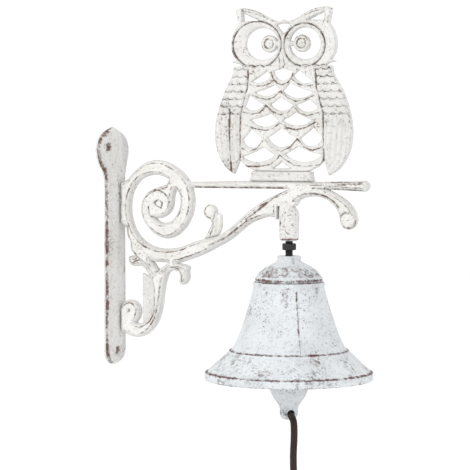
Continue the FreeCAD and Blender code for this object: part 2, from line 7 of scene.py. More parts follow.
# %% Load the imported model
import bmesh
import bpy
import math
import numpy as np
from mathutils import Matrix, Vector


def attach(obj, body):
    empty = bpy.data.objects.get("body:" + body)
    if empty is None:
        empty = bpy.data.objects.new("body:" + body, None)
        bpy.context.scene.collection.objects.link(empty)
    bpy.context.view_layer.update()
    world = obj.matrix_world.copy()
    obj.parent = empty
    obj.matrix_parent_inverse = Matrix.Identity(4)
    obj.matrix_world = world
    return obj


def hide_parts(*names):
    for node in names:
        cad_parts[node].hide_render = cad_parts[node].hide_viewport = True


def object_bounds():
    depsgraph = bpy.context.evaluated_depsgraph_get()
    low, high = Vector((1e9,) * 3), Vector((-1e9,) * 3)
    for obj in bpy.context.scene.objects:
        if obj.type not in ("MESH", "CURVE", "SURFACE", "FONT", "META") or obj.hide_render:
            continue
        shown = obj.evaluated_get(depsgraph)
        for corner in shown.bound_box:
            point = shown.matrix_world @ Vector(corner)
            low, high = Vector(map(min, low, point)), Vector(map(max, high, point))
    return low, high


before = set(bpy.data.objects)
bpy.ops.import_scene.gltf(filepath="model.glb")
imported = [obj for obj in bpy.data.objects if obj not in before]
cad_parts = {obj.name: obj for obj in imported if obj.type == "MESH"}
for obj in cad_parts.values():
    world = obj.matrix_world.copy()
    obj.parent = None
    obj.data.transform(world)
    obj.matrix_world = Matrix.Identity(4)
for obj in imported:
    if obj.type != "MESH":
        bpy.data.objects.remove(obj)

cad_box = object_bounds()
MM = 0.001
print("CAD box in metres:", cad_box)

# %% [markdown]
# ## The camera
# The bell is seen 25 degrees round from its side and almost level. A long lens
# from 1.65 metres away keeps the bell's rim nearly flat. The camera looks at a
# point between the spiral and the bell.

# %% Camera
scene = bpy.context.scene
look_from, look_at = Vector((0.7834, -1.4531, 0.0974)), Vector((0.0870, 0.0403, 0.0110))
camera_data = bpy.data.cameras.new("camera")
camera_data.lens, camera_data.sensor_width = 160.5, 36.0
camera = bpy.data.objects.new("camera", camera_data)
camera.location = look_from
camera.rotation_euler = (look_at - look_from).to_track_quat("-Z", "Y").to_euler()
scene.collection.objects.link(camera)
scene.camera = camera
print("camera distance %.2f m" % (look_at - look_from).length)

# %% [markdown]
# ## Floor and light
# White iron shows its shape only in soft shade. An even white sky does most of
# the lighting, a lamp from the upper left gives a direction, and a weak cool
# lamp from the right keeps the far side from going flat. The floor lies well
# below the cord.

# %% Floor, sky and lamps
scene.view_settings.view_transform = "Standard"


def plain_material(name, colour, roughness):
    """A plain shader for the stage only."""
    material = bpy.data.materials.new(name)
    material.use_nodes = True
    shader = material.node_tree.nodes["Principled BSDF"]
    shader.inputs["Base Color"].default_value = (*colour, 1.0)
    shader.inputs["Roughness"].default_value = roughness
    return material


floor_radius, floor_corners, floor_gap = 5.0, 96, 0.06
angles = np.linspace(0, 2 * np.pi, floor_corners, endpoint=False)
floor_height = cad_box[0][2] - floor_gap
rim = np.column_stack([floor_radius * np.cos(angles), floor_radius * np.sin(angles),
                       np.full(floor_corners, floor_height)])
floor_mesh = bpy.data.meshes.new("floor")
floor_mesh.from_pydata(rim.tolist(), [], [list(range(floor_corners))])
floor = bpy.data.objects.new("floor", floor_mesh)
floor_mesh.materials.append(plain_material("pale_floor", (0.95, 0.95, 0.95), 0.95))
scene.collection.objects.link(floor)

world = bpy.data.worlds.new("white_sky")
world.use_nodes = True
world.node_tree.nodes["Background"].inputs["Color"].default_value = (1.0, 1.0, 1.0, 1.0)
world.node_tree.nodes["Background"].inputs["Strength"].default_value = 1.06
scene.world = world


def lamp(name, place, aim, width, power, colour):
    """A square area lamp at a place, turned to its aim."""
    data = bpy.data.lights.new(name, "AREA")
    data.size, data.energy, data.color = width, power, colour
    light = bpy.data.objects.new(name, data)
    light.location = place
    light.rotation_euler = (Vector(aim) - Vector(place)).to_track_quat("-Z", "Y").to_euler()
    scene.collection.objects.link(light)


lamp("key_lamp", (-0.9, -1.7, 1.3), (0.1, 0.0, 0.0), 0.9, 14.0, (1.0, 0.99, 0.97))
lamp("side_lamp", (1.9, -0.6, 0.5), (0.1, 0.0, 0.0), 1.0, 3.0, (0.86, 0.93, 1.0))
print("floor at %.3f m" % floor_height)

# %% [markdown]
# ## Putting a surface into a mesh
# Every new piece is a grid of points worked out with numpy in millimetres. One
# helper scales it to metres, stores how worn each point is and how much shade
# is painted into its colour, and lets the piece ride on its body and stand for its CAD node.

# %% Mesh helper


def new_piece(name, points, faces, body, nodes, wear=None, painted_shade=None, uv=None):
    """One finished piece from points in millimetres and faces as index rows.
    wear, and the amount of shade painted into the colour, are numbers from 0 to 1 kept at the points; uv is
    a pair."""
    mesh = bpy.data.meshes.new(name)
    mesh.from_pydata((np.asarray(points) * MM).tolist(), [], np.asarray(faces).tolist())
    mesh.polygons.foreach_set("use_smooth", np.ones(len(mesh.polygons), dtype=bool))
    # wear is real rubbed paint; the second stored number is painted shade
    for label, values in (("wear", wear), ("painted_shade", painted_shade)):
        kept = mesh.attributes.new(label, "FLOAT", "POINT")
        kept.data.foreach_set("value", np.clip(np.zeros(len(points)) if values is None else values, 0, 1))
    if uv is not None:
        layer = mesh.uv_layers.new(name="around_and_along")
        corner = np.empty(len(mesh.loops), dtype=np.int32)
        mesh.loops.foreach_get("vertex_index", corner)
        layer.data.foreach_set("uv", np.asarray(uv)[corner].ravel())
    mesh.validate()
    piece = bpy.data.objects.new(name, mesh)
    scene.collection.objects.link(piece)
    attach(piece, body)
    if nodes:
        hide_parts(*nodes)
    print("%-18s %6d faces" % (name, len(mesh.polygons)))
    return piece


def grid_faces(rows, columns, closed_rows=False, closed_columns=False):
    """Index rows of the quads of a grid. The last row or column joins the first
    when it is closed."""
    i = np.arange(rows if closed_rows else rows - 1)[:, None]
    j = np.arange(columns if closed_columns else columns - 1)[None, :]
    below, beside = (i + 1) % rows, (j + 1) % columns
    return np.stack([i * columns + j, i * columns + beside, below * columns + beside, below * columns + j],
                    axis=-1).reshape(-1, 4)


# %% [markdown]
# ## The pull cord
# A braided cord goes through a hole in the clapper's tip. A knot behind the tip
# holds it and a second knot ends it. It hangs limp, so its line is a NURBS
# spline that a few route points steer. The braid is a tube whose radius swells
# where a strand lies on top, carried along that spline.

# %% Route and spline of the cord
bell_x = 151.0
hole = np.array([bell_x, 0.0, -121.0])
turn = math.radians(38.0)
ALONG = np.array([math.sin(turn), -math.cos(turn), 0.0])
ACROSS = np.array([math.cos(turn), math.sin(turn), 0.0])
cord_radius = 2.65
route = np.array([(-11.8, 0, 0), (13.2, 0, 0), (13.6, 0.9, 14.0), (13.0, -0.2, 34.0),
                  (13.6, 1.8, 72.0), (12.6, -0.8, 126.0), (13.2, -2.8, 174.0)])
route_points = hole + route[:, :1] * ALONG + route[:, 1:2] * ACROSS - route[:, 2:] * np.array([0, 0, 1.0])


def spline_line(name, points, steps):
    """Points in millimetres along the NURBS spline of these control points."""
    curve = bpy.data.curves.new(name, "CURVE")
    curve.dimensions = "3D"
    curve.resolution_u = steps
    spline = curve.splines.new("NURBS")
    spline.points.add(len(points) - 1)
    spline.points.foreach_set("co", np.column_stack([points * MM, np.ones(len(points))]).ravel())
    spline.order_u = 3
    spline.use_endpoint_u = True
    holder = bpy.data.objects.new(name, curve)
    line_mesh = bpy.data.meshes.new_from_object(holder)
    line = np.empty(len(line_mesh.vertices) * 3)
    line_mesh.vertices.foreach_get("co", line)
    bpy.data.objects.remove(holder)
    bpy.data.curves.remove(curve)
    bpy.data.meshes.remove(line_mesh)
    return line.reshape(-1, 3) / MM


def run_along(line):
    """How far along the line each of its points lies."""
    return np.concatenate([[0], np.cumsum(np.linalg.norm(np.diff(line, axis=0), axis=1))])


cord_line = spline_line("cord_route", route_points, 96)

# %% The braid
BRAID_STRANDS = 5
BRAID_DIP = 0.13
UV_PER_METRE = 10


def braid_swell(around, along, radius):
    """Two sets of strands wind in opposite ways; the higher one shows. Each
    strand is a half wave across, so the radius dips between strands."""
    pitch = 2.6 * radius
    right = np.abs(np.cos(BRAID_STRANDS * around / 2 + np.pi * along / pitch))
    left = np.abs(np.cos(BRAID_STRANDS * around / 2 - np.pi * along / pitch))
    return radius * (1 - BRAID_DIP + BRAID_DIP * np.maximum(right, left) ** 0.7)


def unit(rows):
    """The same directions, each one long."""
    return rows / np.linalg.norm(rows, axis=1)[:, None]


def braided(line, side, radius, count):
    """A ring of points round each point of the line, at the braid's radius in
    the plane across the line; how deep each lies between strands; and its place
    around and along. side says where the rings start, once or point by point."""
    run = run_along(line)
    ahead = unit(np.gradient(line, axis=0))
    first = unit(side - np.sum(side * ahead, axis=1)[:, None] * ahead)
    second = np.cross(ahead, first)
    around = np.linspace(0, 2 * np.pi, count, endpoint=False)
    swell = braid_swell(around[None, :], run[:, None], radius)
    ring = (np.cos(around)[None, :, None] * first[:, None]
            + np.sin(around)[None, :, None] * second[:, None])
    turn_share, travel = (around / (2 * np.pi))[None, :], (run * MM * UV_PER_METRE)[:, None]
    uv = np.stack(np.broadcast_arrays(turn_share, travel), axis=-1)
    return line[:, None] + swell[..., None] * ring, (radius - swell) / (BRAID_DIP * radius), uv


def tube(line, radius, side, count=40):
    """A closed tube of braid along the line. Both ends close to a point."""
    points, dips, uv = braided(line, side, radius, count)
    points = np.concatenate([np.repeat(line[:1, None], count, 1), points,
                             np.repeat(line[-1:, None], count, 1)])
    doubled = [0, *range(len(line)), len(line) - 1]
    faces = grid_faces(len(points), count, closed_columns=True)
    return points.reshape(-1, 3), faces, dips[doubled].ravel(), uv[doubled].reshape(-1, 2)


points, faces, dips, uv = tube(cord_line, cord_radius, ACROSS)
pull_cord = new_piece("pull_cord_braid", points, faces, "cord", ["pull_cord"],
                      painted_shade=dips, uv=uv)

# %% The two knots


def knot(name, centre, node, reach, strand, start, count=28):
    """A trefoil line t -> (sin t + 2 sin 2t, cos t - 2 cos 2t, -1.6 sin 3t),
    scaled to the knot's reach less the strand, with the braid carried along."""
    t = np.linspace(0, 2 * np.pi, 200) + start
    trefoil = np.column_stack([np.sin(t) + 2 * np.sin(2 * t), np.cos(t) - 2 * np.cos(2 * t),
                               -1.6 * np.sin(3 * t)])
    line = trefoil * ((reach - strand) / 3.0) + centre
    points, dips, uv = braided(line, line - centre, strand, count)
    return new_piece(name, points.reshape(-1, 3), grid_faces(len(t), count, closed_columns=True),
                     "cord", [node], painted_shade=dips.ravel(), uv=uv.reshape(-1, 2))


stop_knot = knot("cord_stop_knot_tied", route_points[0], "cord_stop_knot", 4.6, 2.1, 0.3)
end_knot = knot("cord_end_knot_tied", route_points[-1], "cord_end_knot", 5.2, 2.4, 1.1)

# %% [markdown]
# ## Reading the outline of a casting
# The bracket's castings are flat shapes of even thickness. Their outlines are
# already in the CAD model, so they are read from it: each node's triangles are
# cut by a plane, and every cut leaves a short segment that knows which way is
# out. Segments between two castings that touch are dropped, so that
# neighbours grow together as they do in the real iron.

# %% Cutting a CAD node by a plane


def sliced(node, axis, at, longest=0.6):
    """The segments in which the plane where the coordinate has the value at
    cuts the node's triangles, and the outward direction at each segment."""
    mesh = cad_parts[node].data
    co = np.empty(len(mesh.vertices) * 3)
    mesh.vertices.foreach_get("co", co)
    corner = np.empty(len(mesh.loops), dtype=np.int32)
    mesh.loops.foreach_get("vertex_index", corner)
    triangles = co.reshape(-1, 3)[corner].reshape(-1, 3, 3) / MM
    above = triangles[:, :, axis] > at
    cut = above.any(1) & ~above.all(1)
    triangles, above = triangles[cut], above[cut]
    lone = np.where(above.sum(1) == 1, above.argmax(1), (~above).argmax(1))
    row = np.arange(len(triangles))
    tip, left, right = (triangles[row, (lone + k) % 3] for k in range(3))
    ends = [tip + (other - tip) * ((at - tip[:, axis]) / (other[:, axis] - tip[:, axis]))[:, None]
            for other in (left, right)]
    flat = [k for k in range(3) if k != axis]
    out = np.cross(left - tip, right - tip)[:, flat]
    start, end = ends[0][:, flat], ends[1][:, flat]
    good = (np.linalg.norm(end - start, axis=1) > 1e-4) & (np.linalg.norm(out, axis=1) > 1e-9)
    start, end, out = start[good], end[good], out[good]
    out /= np.linalg.norm(out, axis=1)[:, None]
    count = np.ceil(np.linalg.norm(end - start, axis=1) / longest).astype(int)
    index = np.repeat(np.arange(len(start)), count)
    step = np.arange(count.sum()) - np.repeat(np.cumsum(count) - count, count)
    share = (step / count[index])[:, None], ((step + 1) / count[index])[:, None]
    span = (end - start)[index]
    return np.stack([start[index] + span * share[0], start[index] + span * share[1]], axis=1), out[index]


def within(points, segments):
    """Whether each point is inside: a line to its right crosses the outline an
    odd number of times."""
    low, high = segments[:, 0], segments[:, 1]
    spans = (low[:, 1] > points[:, 1:]) != (high[:, 1] > points[:, 1:])
    rise = np.where(high[:, 1] == low[:, 1], 1, high[:, 1] - low[:, 1])
    crossing = low[:, 0] + (points[:, 1:] - low[:, 1]) * (high[:, 0] - low[:, 0]) / rise
    return (spans & (points[:, :1] < crossing)).sum(1) % 2 == 1


def grown_together(outlines):
    """All segments but those with another casting just outside them."""
    kept, out = [], []
    for number, (segments, normals) in enumerate(outlines):
        outside = segments.mean(axis=1) + 0.07 * normals
        covered = np.zeros(len(segments), dtype=bool)
        for other, (neighbour, _) in enumerate(outlines):
            if other != number:
                covered |= within(outside, neighbour)
        kept.append(segments[~covered])
        out.append(normals[~covered])
    return np.concatenate(kept), np.concatenate(out)


# %% [markdown]
# ## Growing a relief from its outline
# A sand mould leaves walls that lean a little, rounded edges and a face with
# shallow detail. All of these depend on how far a point lies inside the
# outline. So a fine grid is laid over the casting, each grid point gets its
# distance to the outline, and the height of the face is a function of that
# distance and of the place. The walls are strips from the front's border to
# the back's.

# %% Distance to the outline on a grid


def distance_field(us, vs, outlines, segments, normals, reach=8.0):
    """For every grid point: its distance to the outline, positive inside; the
    nearest outline point; the outward direction there; and the distances to
    the nearest underside and the nearest upper side of the iron."""
    shape = (len(vs), len(us))
    field = {"d": np.full(shape, -reach), "under": np.full(shape, reach), "over": np.full(shape, reach),
             "foot": np.zeros(shape + (2,)), "out": np.zeros(shape + (2,))}
    lowest, highest = segments[:, :, 1].min(1), segments[:, :, 1].max(1)
    for row, v in enumerate(vs):
        near = (lowest < v + reach) & (highest > v - reach)
        if not near.any():
            continue
        start, span, out = segments[near, 0], segments[near, 1] - segments[near, 0], normals[near]
        along = (us[:, None] - start[:, 0]) * span[:, 0] + (v - start[:, 1]) * span[:, 1]
        along = np.clip(along / (span ** 2).sum(1), 0, 1)
        foot_u, foot_v = start[:, 0] + along * span[:, 0], start[:, 1] + along * span[:, 1]
        square = (foot_u - us[:, None]) ** 2 + (foot_v - v) ** 2
        best = square.argmin(1)
        column = np.arange(len(us))
        points = np.column_stack([us, np.full(len(us), v)])
        solid = np.zeros(len(us), dtype=bool)
        for outline, _ in outlines:
            level = (outline[:, :, 1].min(1) <= v) & (outline[:, :, 1].max(1) >= v)
            solid |= within(points, outline[level])
        field["d"][row] = np.minimum(np.sqrt(square[column, best]), reach) * np.where(solid, 1, -1)
        field["foot"][row] = np.column_stack([foot_u[column, best], foot_v[column, best]])
        field["out"][row] = out[best]
        for label, chosen in (("under", out[:, 1] < -0.3), ("over", out[:, 1] > 0.3)):
            if chosen.any():
                field[label][row] = np.minimum(np.sqrt(square[:, chosen].min(1)), reach)
    return field


# %% The relief itself


def relief(outlines, spacing, draft, heights, along_y=True):
    """Points, faces, wear and painted shade of one casting. Cells inside the outline
    are kept and border points are moved on to it, a draft inside. heights()
    turns distances and places into front and back heights, wear and painted shade.
    The walls get an even painted shade."""
    segments, normals = grown_together(outlines)
    low, high = segments.min(axis=(0, 1)) - spacing, segments.max(axis=(0, 1)) + spacing
    us, vs = (np.arange(low[k], high[k] + spacing, spacing) for k in range(2))
    field = distance_field(us, vs, outlines, segments, normals)
    d = field["d"]
    cell = (d[:-1, :-1] + d[1:, :-1] + d[:-1, 1:] + d[1:, 1:]) / 4 > draft
    for _ in range(6):
        rising = cell[:-1, :-1] & cell[1:, 1:] & ~cell[:-1, 1:] & ~cell[1:, :-1]
        falling = ~cell[:-1, :-1] & ~cell[1:, 1:] & cell[:-1, 1:] & cell[1:, :-1]
        cell[:-1, 1:] |= rising
        cell[:-1, :-1] |= falling
    j, i = np.nonzero(cell)
    wide = len(us)
    quads = np.column_stack([j * wide + i, j * wide + i + 1, (j + 1) * wide + i + 1, (j + 1) * wide + i])
    used, flat_index = np.unique(quads, return_inverse=True)
    quads = flat_index.reshape(-1, 4)
    uses = np.bincount(quads.ravel(), minlength=len(used))
    pick = {key: value.reshape(-1, *value.shape[2:])[used] for key, value in field.items()}
    place = np.column_stack([us[used % wide], vs[used // wide]])
    border = uses < 4
    place[border] = pick["foot"][border] - draft * pick["out"][border]
    depth = np.where(border, 0.0, np.maximum(pick["d"] - draft, 0.02))
    front, back, wear, painted_shade = heights(place[:, 0], place[:, 1], depth, pick)

    edges = np.concatenate([quads[:, [k, (k + 1) % 4]] for k in range(4)])
    forward = edges[:, 0] * len(used) + edges[:, 1]
    backward = edges[:, 1] * len(used) + edges[:, 0]
    rim_edges = edges[~np.isin(forward, backward)]
    rim = np.unique(rim_edges)
    rim_number = np.zeros(len(used), dtype=int)
    rim_number[rim] = np.arange(len(rim))
    shares = np.array([0.18, 0.5, 0.82])
    bulge = draft * np.array([0.6, 1.0, 0.6])
    wall_place = place[rim][None] + bulge[:, None, None] * pick["out"][rim][None]
    wall_height = front[rim] + (back[rim] - front[rim]) * shares[:, None]
    between = [2 * len(used) + k * len(rim) + np.arange(len(rim)) for k in range(3)]
    levels = [rim] + between + [len(used) + rim]
    flat = np.concatenate([place, place, wall_place.reshape(-1, 2)])
    tall = np.concatenate([front, back, wall_height.ravel()])
    upright = np.column_stack([flat[:, 0], -tall, flat[:, 1]])
    points = upright if along_y else np.column_stack([tall, flat[:, 0], flat[:, 1]])
    begin, finish = rim_number[rim_edges[:, 0]], rim_number[rim_edges[:, 1]]
    walls = [np.column_stack([upper[finish], upper[begin], lower[begin], lower[finish]])
             for upper, lower in zip(levels[:-1], levels[1:])]
    faces = np.concatenate([quads, quads[:, ::-1] + len(used)] + walls)
    blank = np.zeros(3 * len(rim))
    # painted shade: the walls are greyed a little
    wall_painted_shade = blank + 0.25
    return points, faces, np.concatenate([wear, wear, blank]), np.concatenate([painted_shade, painted_shade, wall_painted_shade])


def cast_piece(name, nodes, at, spacing, draft, heights, axis=1, stands_for=None):
    """One relief of the bracket from its nodes' outlines, cut where the axis
    has the value at. It stands for those nodes unless others are given. The
    odd values keep the cut clear of the CAD model's own points."""
    outlines = [sliced(node, axis, at) for node in nodes]
    points, faces, wear, painted_shade = relief(outlines, spacing, draft, heights, along_y=axis == 1)
    return new_piece(name, points, faces, "bracket", nodes if stands_for is None else stands_for,
                     wear=wear, painted_shade=painted_shade)


def eased(low, high, value):
    """0 below low, 1 above high and a smooth step between."""
    share = np.clip((value - low) / (high - low), 0, 1)
    return share * share * (3 - 2 * share)


def rounded_edge(depth, radius, power=1.25):
    """How far the face has dropped at a depth inside its border: nothing
    beyond the radius, and a steeper and steeper fall towards the border."""
    return radius * (1 - np.clip(depth / radius, 0, 1)) ** power


def line_distance(u, v, points):
    """Distance from each place to a chain of straight pieces."""
    points = np.asarray(points, dtype=float)
    best = np.full(len(u), 1e9)
    for start, end in zip(points[:-1], points[1:]):
        span = end - start
        share = np.clip(((u - start[0]) * span[0] + (v - start[1]) * span[1]) / (span @ span), 0, 1)
        best = np.minimum(best, np.hypot(u - start[0] - share * span[0], v - start[1] - share * span[1]))
    return best


def furrow(distance, width):
    """1 on a line, falling to 0 at the width."""
    return 1 - eased(0, width, distance)


# %% [markdown]
# ## The bracket: scroll, arm, leaves, perch
# On the real bracket all these are one pour of iron, ten millimetres deep. The
# face drops in a wide bevel to the walls, and the paint is rubbed through
# along the crest of that bevel. A hook-shaped groove marks the heart of the
# spiral, veins run down the leaves and the arm's end curls round a ball.

# %% Grooves cut in the bracket's face
half_deep = 5.0
SPIRAL_GROOVES = [
    [(38.5, 25.3), (35.4, 26.8), (33.9, 29.2), (33.6, 33.9)],
    [(33.1, 44.9), (37.4, 47.1), (42.9, 46.7), (47.2, 44.8), (50.5, 41.2), (51.6, 38.0)],
    [(42.3, 39.4), (40.1, 38.6), (39.0, 36.9), (40.1, 35.3), (42.6, 34.0), (45.0, 33.1)],
    [(43.7, 38.6), (45.7, 37.5), (45.2, 34.8)],
]
LEAF_VEINS = [
    [(37.5, -18.5), (31.0, -10.5), (24.0, -5.5), (18.0, -2.0)],
    [(40.8, -15.8), (36.0, -23.0), (38.6, -31.0)],
    [(44.6, -17.6), (49.0, -13.2), (55.0, -12.4), (60.5, -14.6), (62.6, -19.0), (62.0, -23.0)],
    [(44.0, -22.0), (42.6, -34.0), (40.0, -46.0), (34.0, -56.0), (25.0, -61.5)],
    [(55.6, -14.0), (59.4, -17.4)], [(59.6, -13.6), (64.6, -13.4)], [(25.6, -7.6), (20.6, -9.6)],
]
ARM_GROOVES = [
    [(169.9, 45.9), (177.0, 45.6), (183.3, 43.7), (189.0, 40.4), (193.4, 36.2)],
    [(86.0, 5.0), (100.0, 11.6), (110.0, 19.0)], [(116.8, 25.4), (124.0, 30.6), (132.4, 36.7)],
    [(132.4, 36.7), (141.0, 43.4), (149.5, 47.9)], [(144.6, 22.0), (146.4, 26.5), (149.5, 29.0)],
]
PERCH_GROOVES = [
    [(171.0, 54.2), (190.0, 54.4), (212.0, 54.6)], [(172.0, 50.0), (190.0, 49.6), (212.0, 48.9)],
]
UNDER_PERCH = [(74.0, 49.7), (96.0, 49.6), (147.0, 49.9)]
arm_ball = (200.0, 26.3)
bud_ball = (86.4, 31.0)
curl_eye = (15.6, -47.6)
bevel = 2.6


def bracket_heights(u, v, depth, pick):
    """Half the depth of the iron, less the bevel and the grooves. The ball of
    the arm and the curl's eye are domes and pits on that face."""
    height = half_deep - rounded_edge(depth, bevel)
    crest = furrow(np.abs(depth - bevel + 0.3), 1.0) * eased(0.5, 1.3, depth)
    ball = np.hypot(u - arm_ball[0], v - arm_ball[1])
    wear = 0.92 * crest * (ball > 6.6)
    # painted shade: grey near the border of the face and, below, in every groove
    painted_shade = 0.55 * furrow(depth, 2.2)
    for chains, width, fall in ((SPIRAL_GROOVES, 1.1, 1.0), (LEAF_VEINS, 1.2, 0.9), (ARM_GROOVES, 1.5, 0.9),
                                (PERCH_GROOVES, 0.9, 0.9)):
        for chain in chains:
            cut = furrow(line_distance(u, v, chain), width)
            height -= fall * cut
            painted_shade = np.maximum(painted_shade, 0.8 * cut)
            wear = np.maximum(wear, 0.7 * cut if chains is LEAF_VEINS else cut)
    eye = np.hypot(u - curl_eye[0], v - curl_eye[1])
    height -= 2.2 * furrow(eye, 2.6)
    wear = np.maximum(wear, 1.1 * furrow(eye, 2.4))
    ring = np.abs(eye - 6.6)
    wear = np.maximum(wear, 0.85 * furrow(ring, 0.9) * (v > curl_eye[1]))
    height = np.where(ball < 6.4, 1.4 + 3.6 * np.sqrt(np.clip(1 - (ball / 6.5) ** 2, 0, 1)), height)
    low_right = u - arm_ball[0] - 1.2 * (v - arm_ball[1]) > 1.0
    wear = np.maximum(wear, 0.8 * eased(3.4, 6.0, ball) * (ball < 6.6) * low_right)
    seam = line_distance(u, v, UNDER_PERCH)
    height -= 0.8 * furrow(seam, 1.2)
    wear = np.where((v > 50.4) & (u > 73.0) & (u < 170.0), 0.35 * wear, wear)
    wear = np.maximum(wear, 1.25 * furrow(seam, 1.6))
    rough = 0.10 * np.sin(u * 0.71 + 1.3 * np.sin(v * 0.37)) * np.sin(v * 0.63 + u * 0.21)
    height += rough * eased(0.5, 3.0, depth)
    joined = (u > 141.0) & (u < 159.5) & (v > 24.0) & (v < 39.5)
    height, wear = np.where(joined, half_deep - 0.1, height), np.where(joined, 0.0, wear)
    return height, -height, wear, np.where(joined, 0.1, painted_shade)


# %% Bracket mesh
bracket_castings = ["scroll", "arm", "perch_bar", "lower_scroll", "leaf_left", "leaf_right"]
bracket_face = cast_piece("bracket_scrolls", bracket_castings, 3.713, 0.6, 0.35, bracket_heights)

# %% [markdown]
# ## The leaf bud and the web
# The bud is thinner than the arm it grows from: a ball, a stalk and a second
# lobe. The web is a thin wall that closes the space behind the stem. Both are
# reliefs too, with their own heights.

# %% Bud and web


def bud_heights(u, v, depth, pick):
    """A dome for the ball, and a rounded stalk that thins towards its edges."""
    ball = np.hypot(u - bud_ball[0], v - bud_ball[1])
    height = 3.0 - rounded_edge(depth, 1.5)
    dome = 1.2 + 3.0 * np.sqrt(np.clip(1 - (ball / 5.6) ** 2, 0, 1))
    height = np.maximum(height * np.where(u > 90.6, 0.62, 0.9), np.where(ball < 5.6, dome, 0))
    split = furrow(line_distance(u, v, [(90.4, 31.0), (88.6, 25.0), (88.0, 18.0), (85.6, 13.0)]), 0.9)
    height -= 0.8 * split
    edge = np.maximum(furrow(np.abs(ball - 4.9), 0.9) * (u < 86.4), furrow(line_distance(
        u, v, [(87.4, 24.6), (86.4, 20.0), (84.6, 15.0)]), 1.1))
    # painted shade in the split groove
    return height, -height, np.maximum(edge, 0.8 * split), 0.8 * split


def web_heights(u, v, depth, pick):
    """An even thin wall with a softened edge, evenly greyed with painted shade."""
    height = 1.5 - rounded_edge(depth, 0.5)
    return height, -height, 0 * u, 0 * u + 0.35


leaf_bud = cast_piece("leaf_bud_cast", ["leaf_bud"], 1.137, 0.45, 0.25, bud_heights)
stem_web = cast_piece("stem_web", ["lower_scroll"], 0.737, 0.8, 0.2, web_heights, stands_for=[])

# %% [markdown]
# ## The owl
# The owl is a thinner relief. Its breast is a net of feather scales: each band
# slopes like a roof tile, low at its upper side and proud at its lower edge,
# where the paint is worn to the iron. The eyes are dishes with a raised rim.
# The wings carry rows of small scales above and long ribs below.

# %% Heights of the owl
owl_x, head_x, owl_z = 145.4, 146.7, 55.0
owl_half = 3.0
EYE_RIMS = [(-21.4, 103.3, 19.5, 17.1), (17.6, 102.6, 16.2, 15.7)]
PUPILS = [(-11.6, 103.8), (15.0, 103.8)]
BEAK = [(-1.2, 96.0), (-0.9, 91.0), (0.0, 86.6)]
FEATHER_EDGES = [
    [(-8.5, 82.5), (-7, 78), (-3.5, 74), (0.5, 72.8), (5, 74.2), (8.3, 77.5), (9.6, 81.5)],
    [(-26.5, 73.3), (-21, 72), (-15, 72), (-9, 74), (-6.5, 76)],
    [(8.5, 77.5), (13, 73.6), (19.5, 71.5), (26, 72.5)],
    [(-24, 65.3), (-18, 62.8), (-12, 61.8), (-6, 63.5), (-0.8, 68)],
    [(-0.8, 68), (5, 63.2), (12, 60.2), (20, 61.8), (27, 65)],
    [(-31.8, 52.4), (-24.5, 50.6), (-18, 51.8), (-12.8, 56.8)],
    [(-12.8, 57.5), (-7.5, 52.6), (-0.5, 50.2), (5.5, 52), (10, 56.5)],
    [(10, 56.5), (15, 51.5), (21.5, 49.4), (31, 52)],
    [(-30, 42.5), (-22, 39.8), (-13, 38.2), (-6.5, 40), (-1.2, 44)],
    [(-1.2, 44), (5, 40.3), (12, 38.8), (20, 40.6), (28, 44.5)],
    [(-33.5, 25), (-27, 22.2), (-20.5, 24.5), (-14.5, 31.5)],
    [(-14.5, 33), (-9, 26), (-0.5, 22.4), (7.5, 26), (13.3, 32)],
    [(13.3, 32), (18.5, 26), (26, 23.4), (33.5, 26)],
    [(-33.8, 13.5), (-27.5, 11), (-18.5, 11), (-8.5, 12.8), (-3, 17), (-1.2, 20)],
    [(-1.2, 20), (3, 16.5), (11, 12.2), (20, 11.2), (33.8, 13)],
]


def ellipse_offset(x, z, centre_x, centre_z, wide, tall):
    """How far a place lies outside an ellipse, roughly in millimetres."""
    scale = np.hypot((x - centre_x) / wide, (z - centre_z) / tall)
    return (scale - 1) * (wide + tall) / 2


def feather_rows(x, z, pitch_x, pitch_z):
    """Rows of scales: the height climbs down each row and the lower edge is a
    string of round lobes, shifted by half a lobe from row to row."""
    row = np.floor(z / pitch_z)
    across = (x / pitch_x + 0.5 * (row % 2)) % 1.0 - 0.5
    lobe = 0.42 * (1 - np.sqrt(np.clip(1 - (1.9 * across) ** 2, 0, 1)))
    share = (z / pitch_z - lobe) % 1.0
    return 1 - share, furrow(np.minimum(share, 1 - share), 0.17)


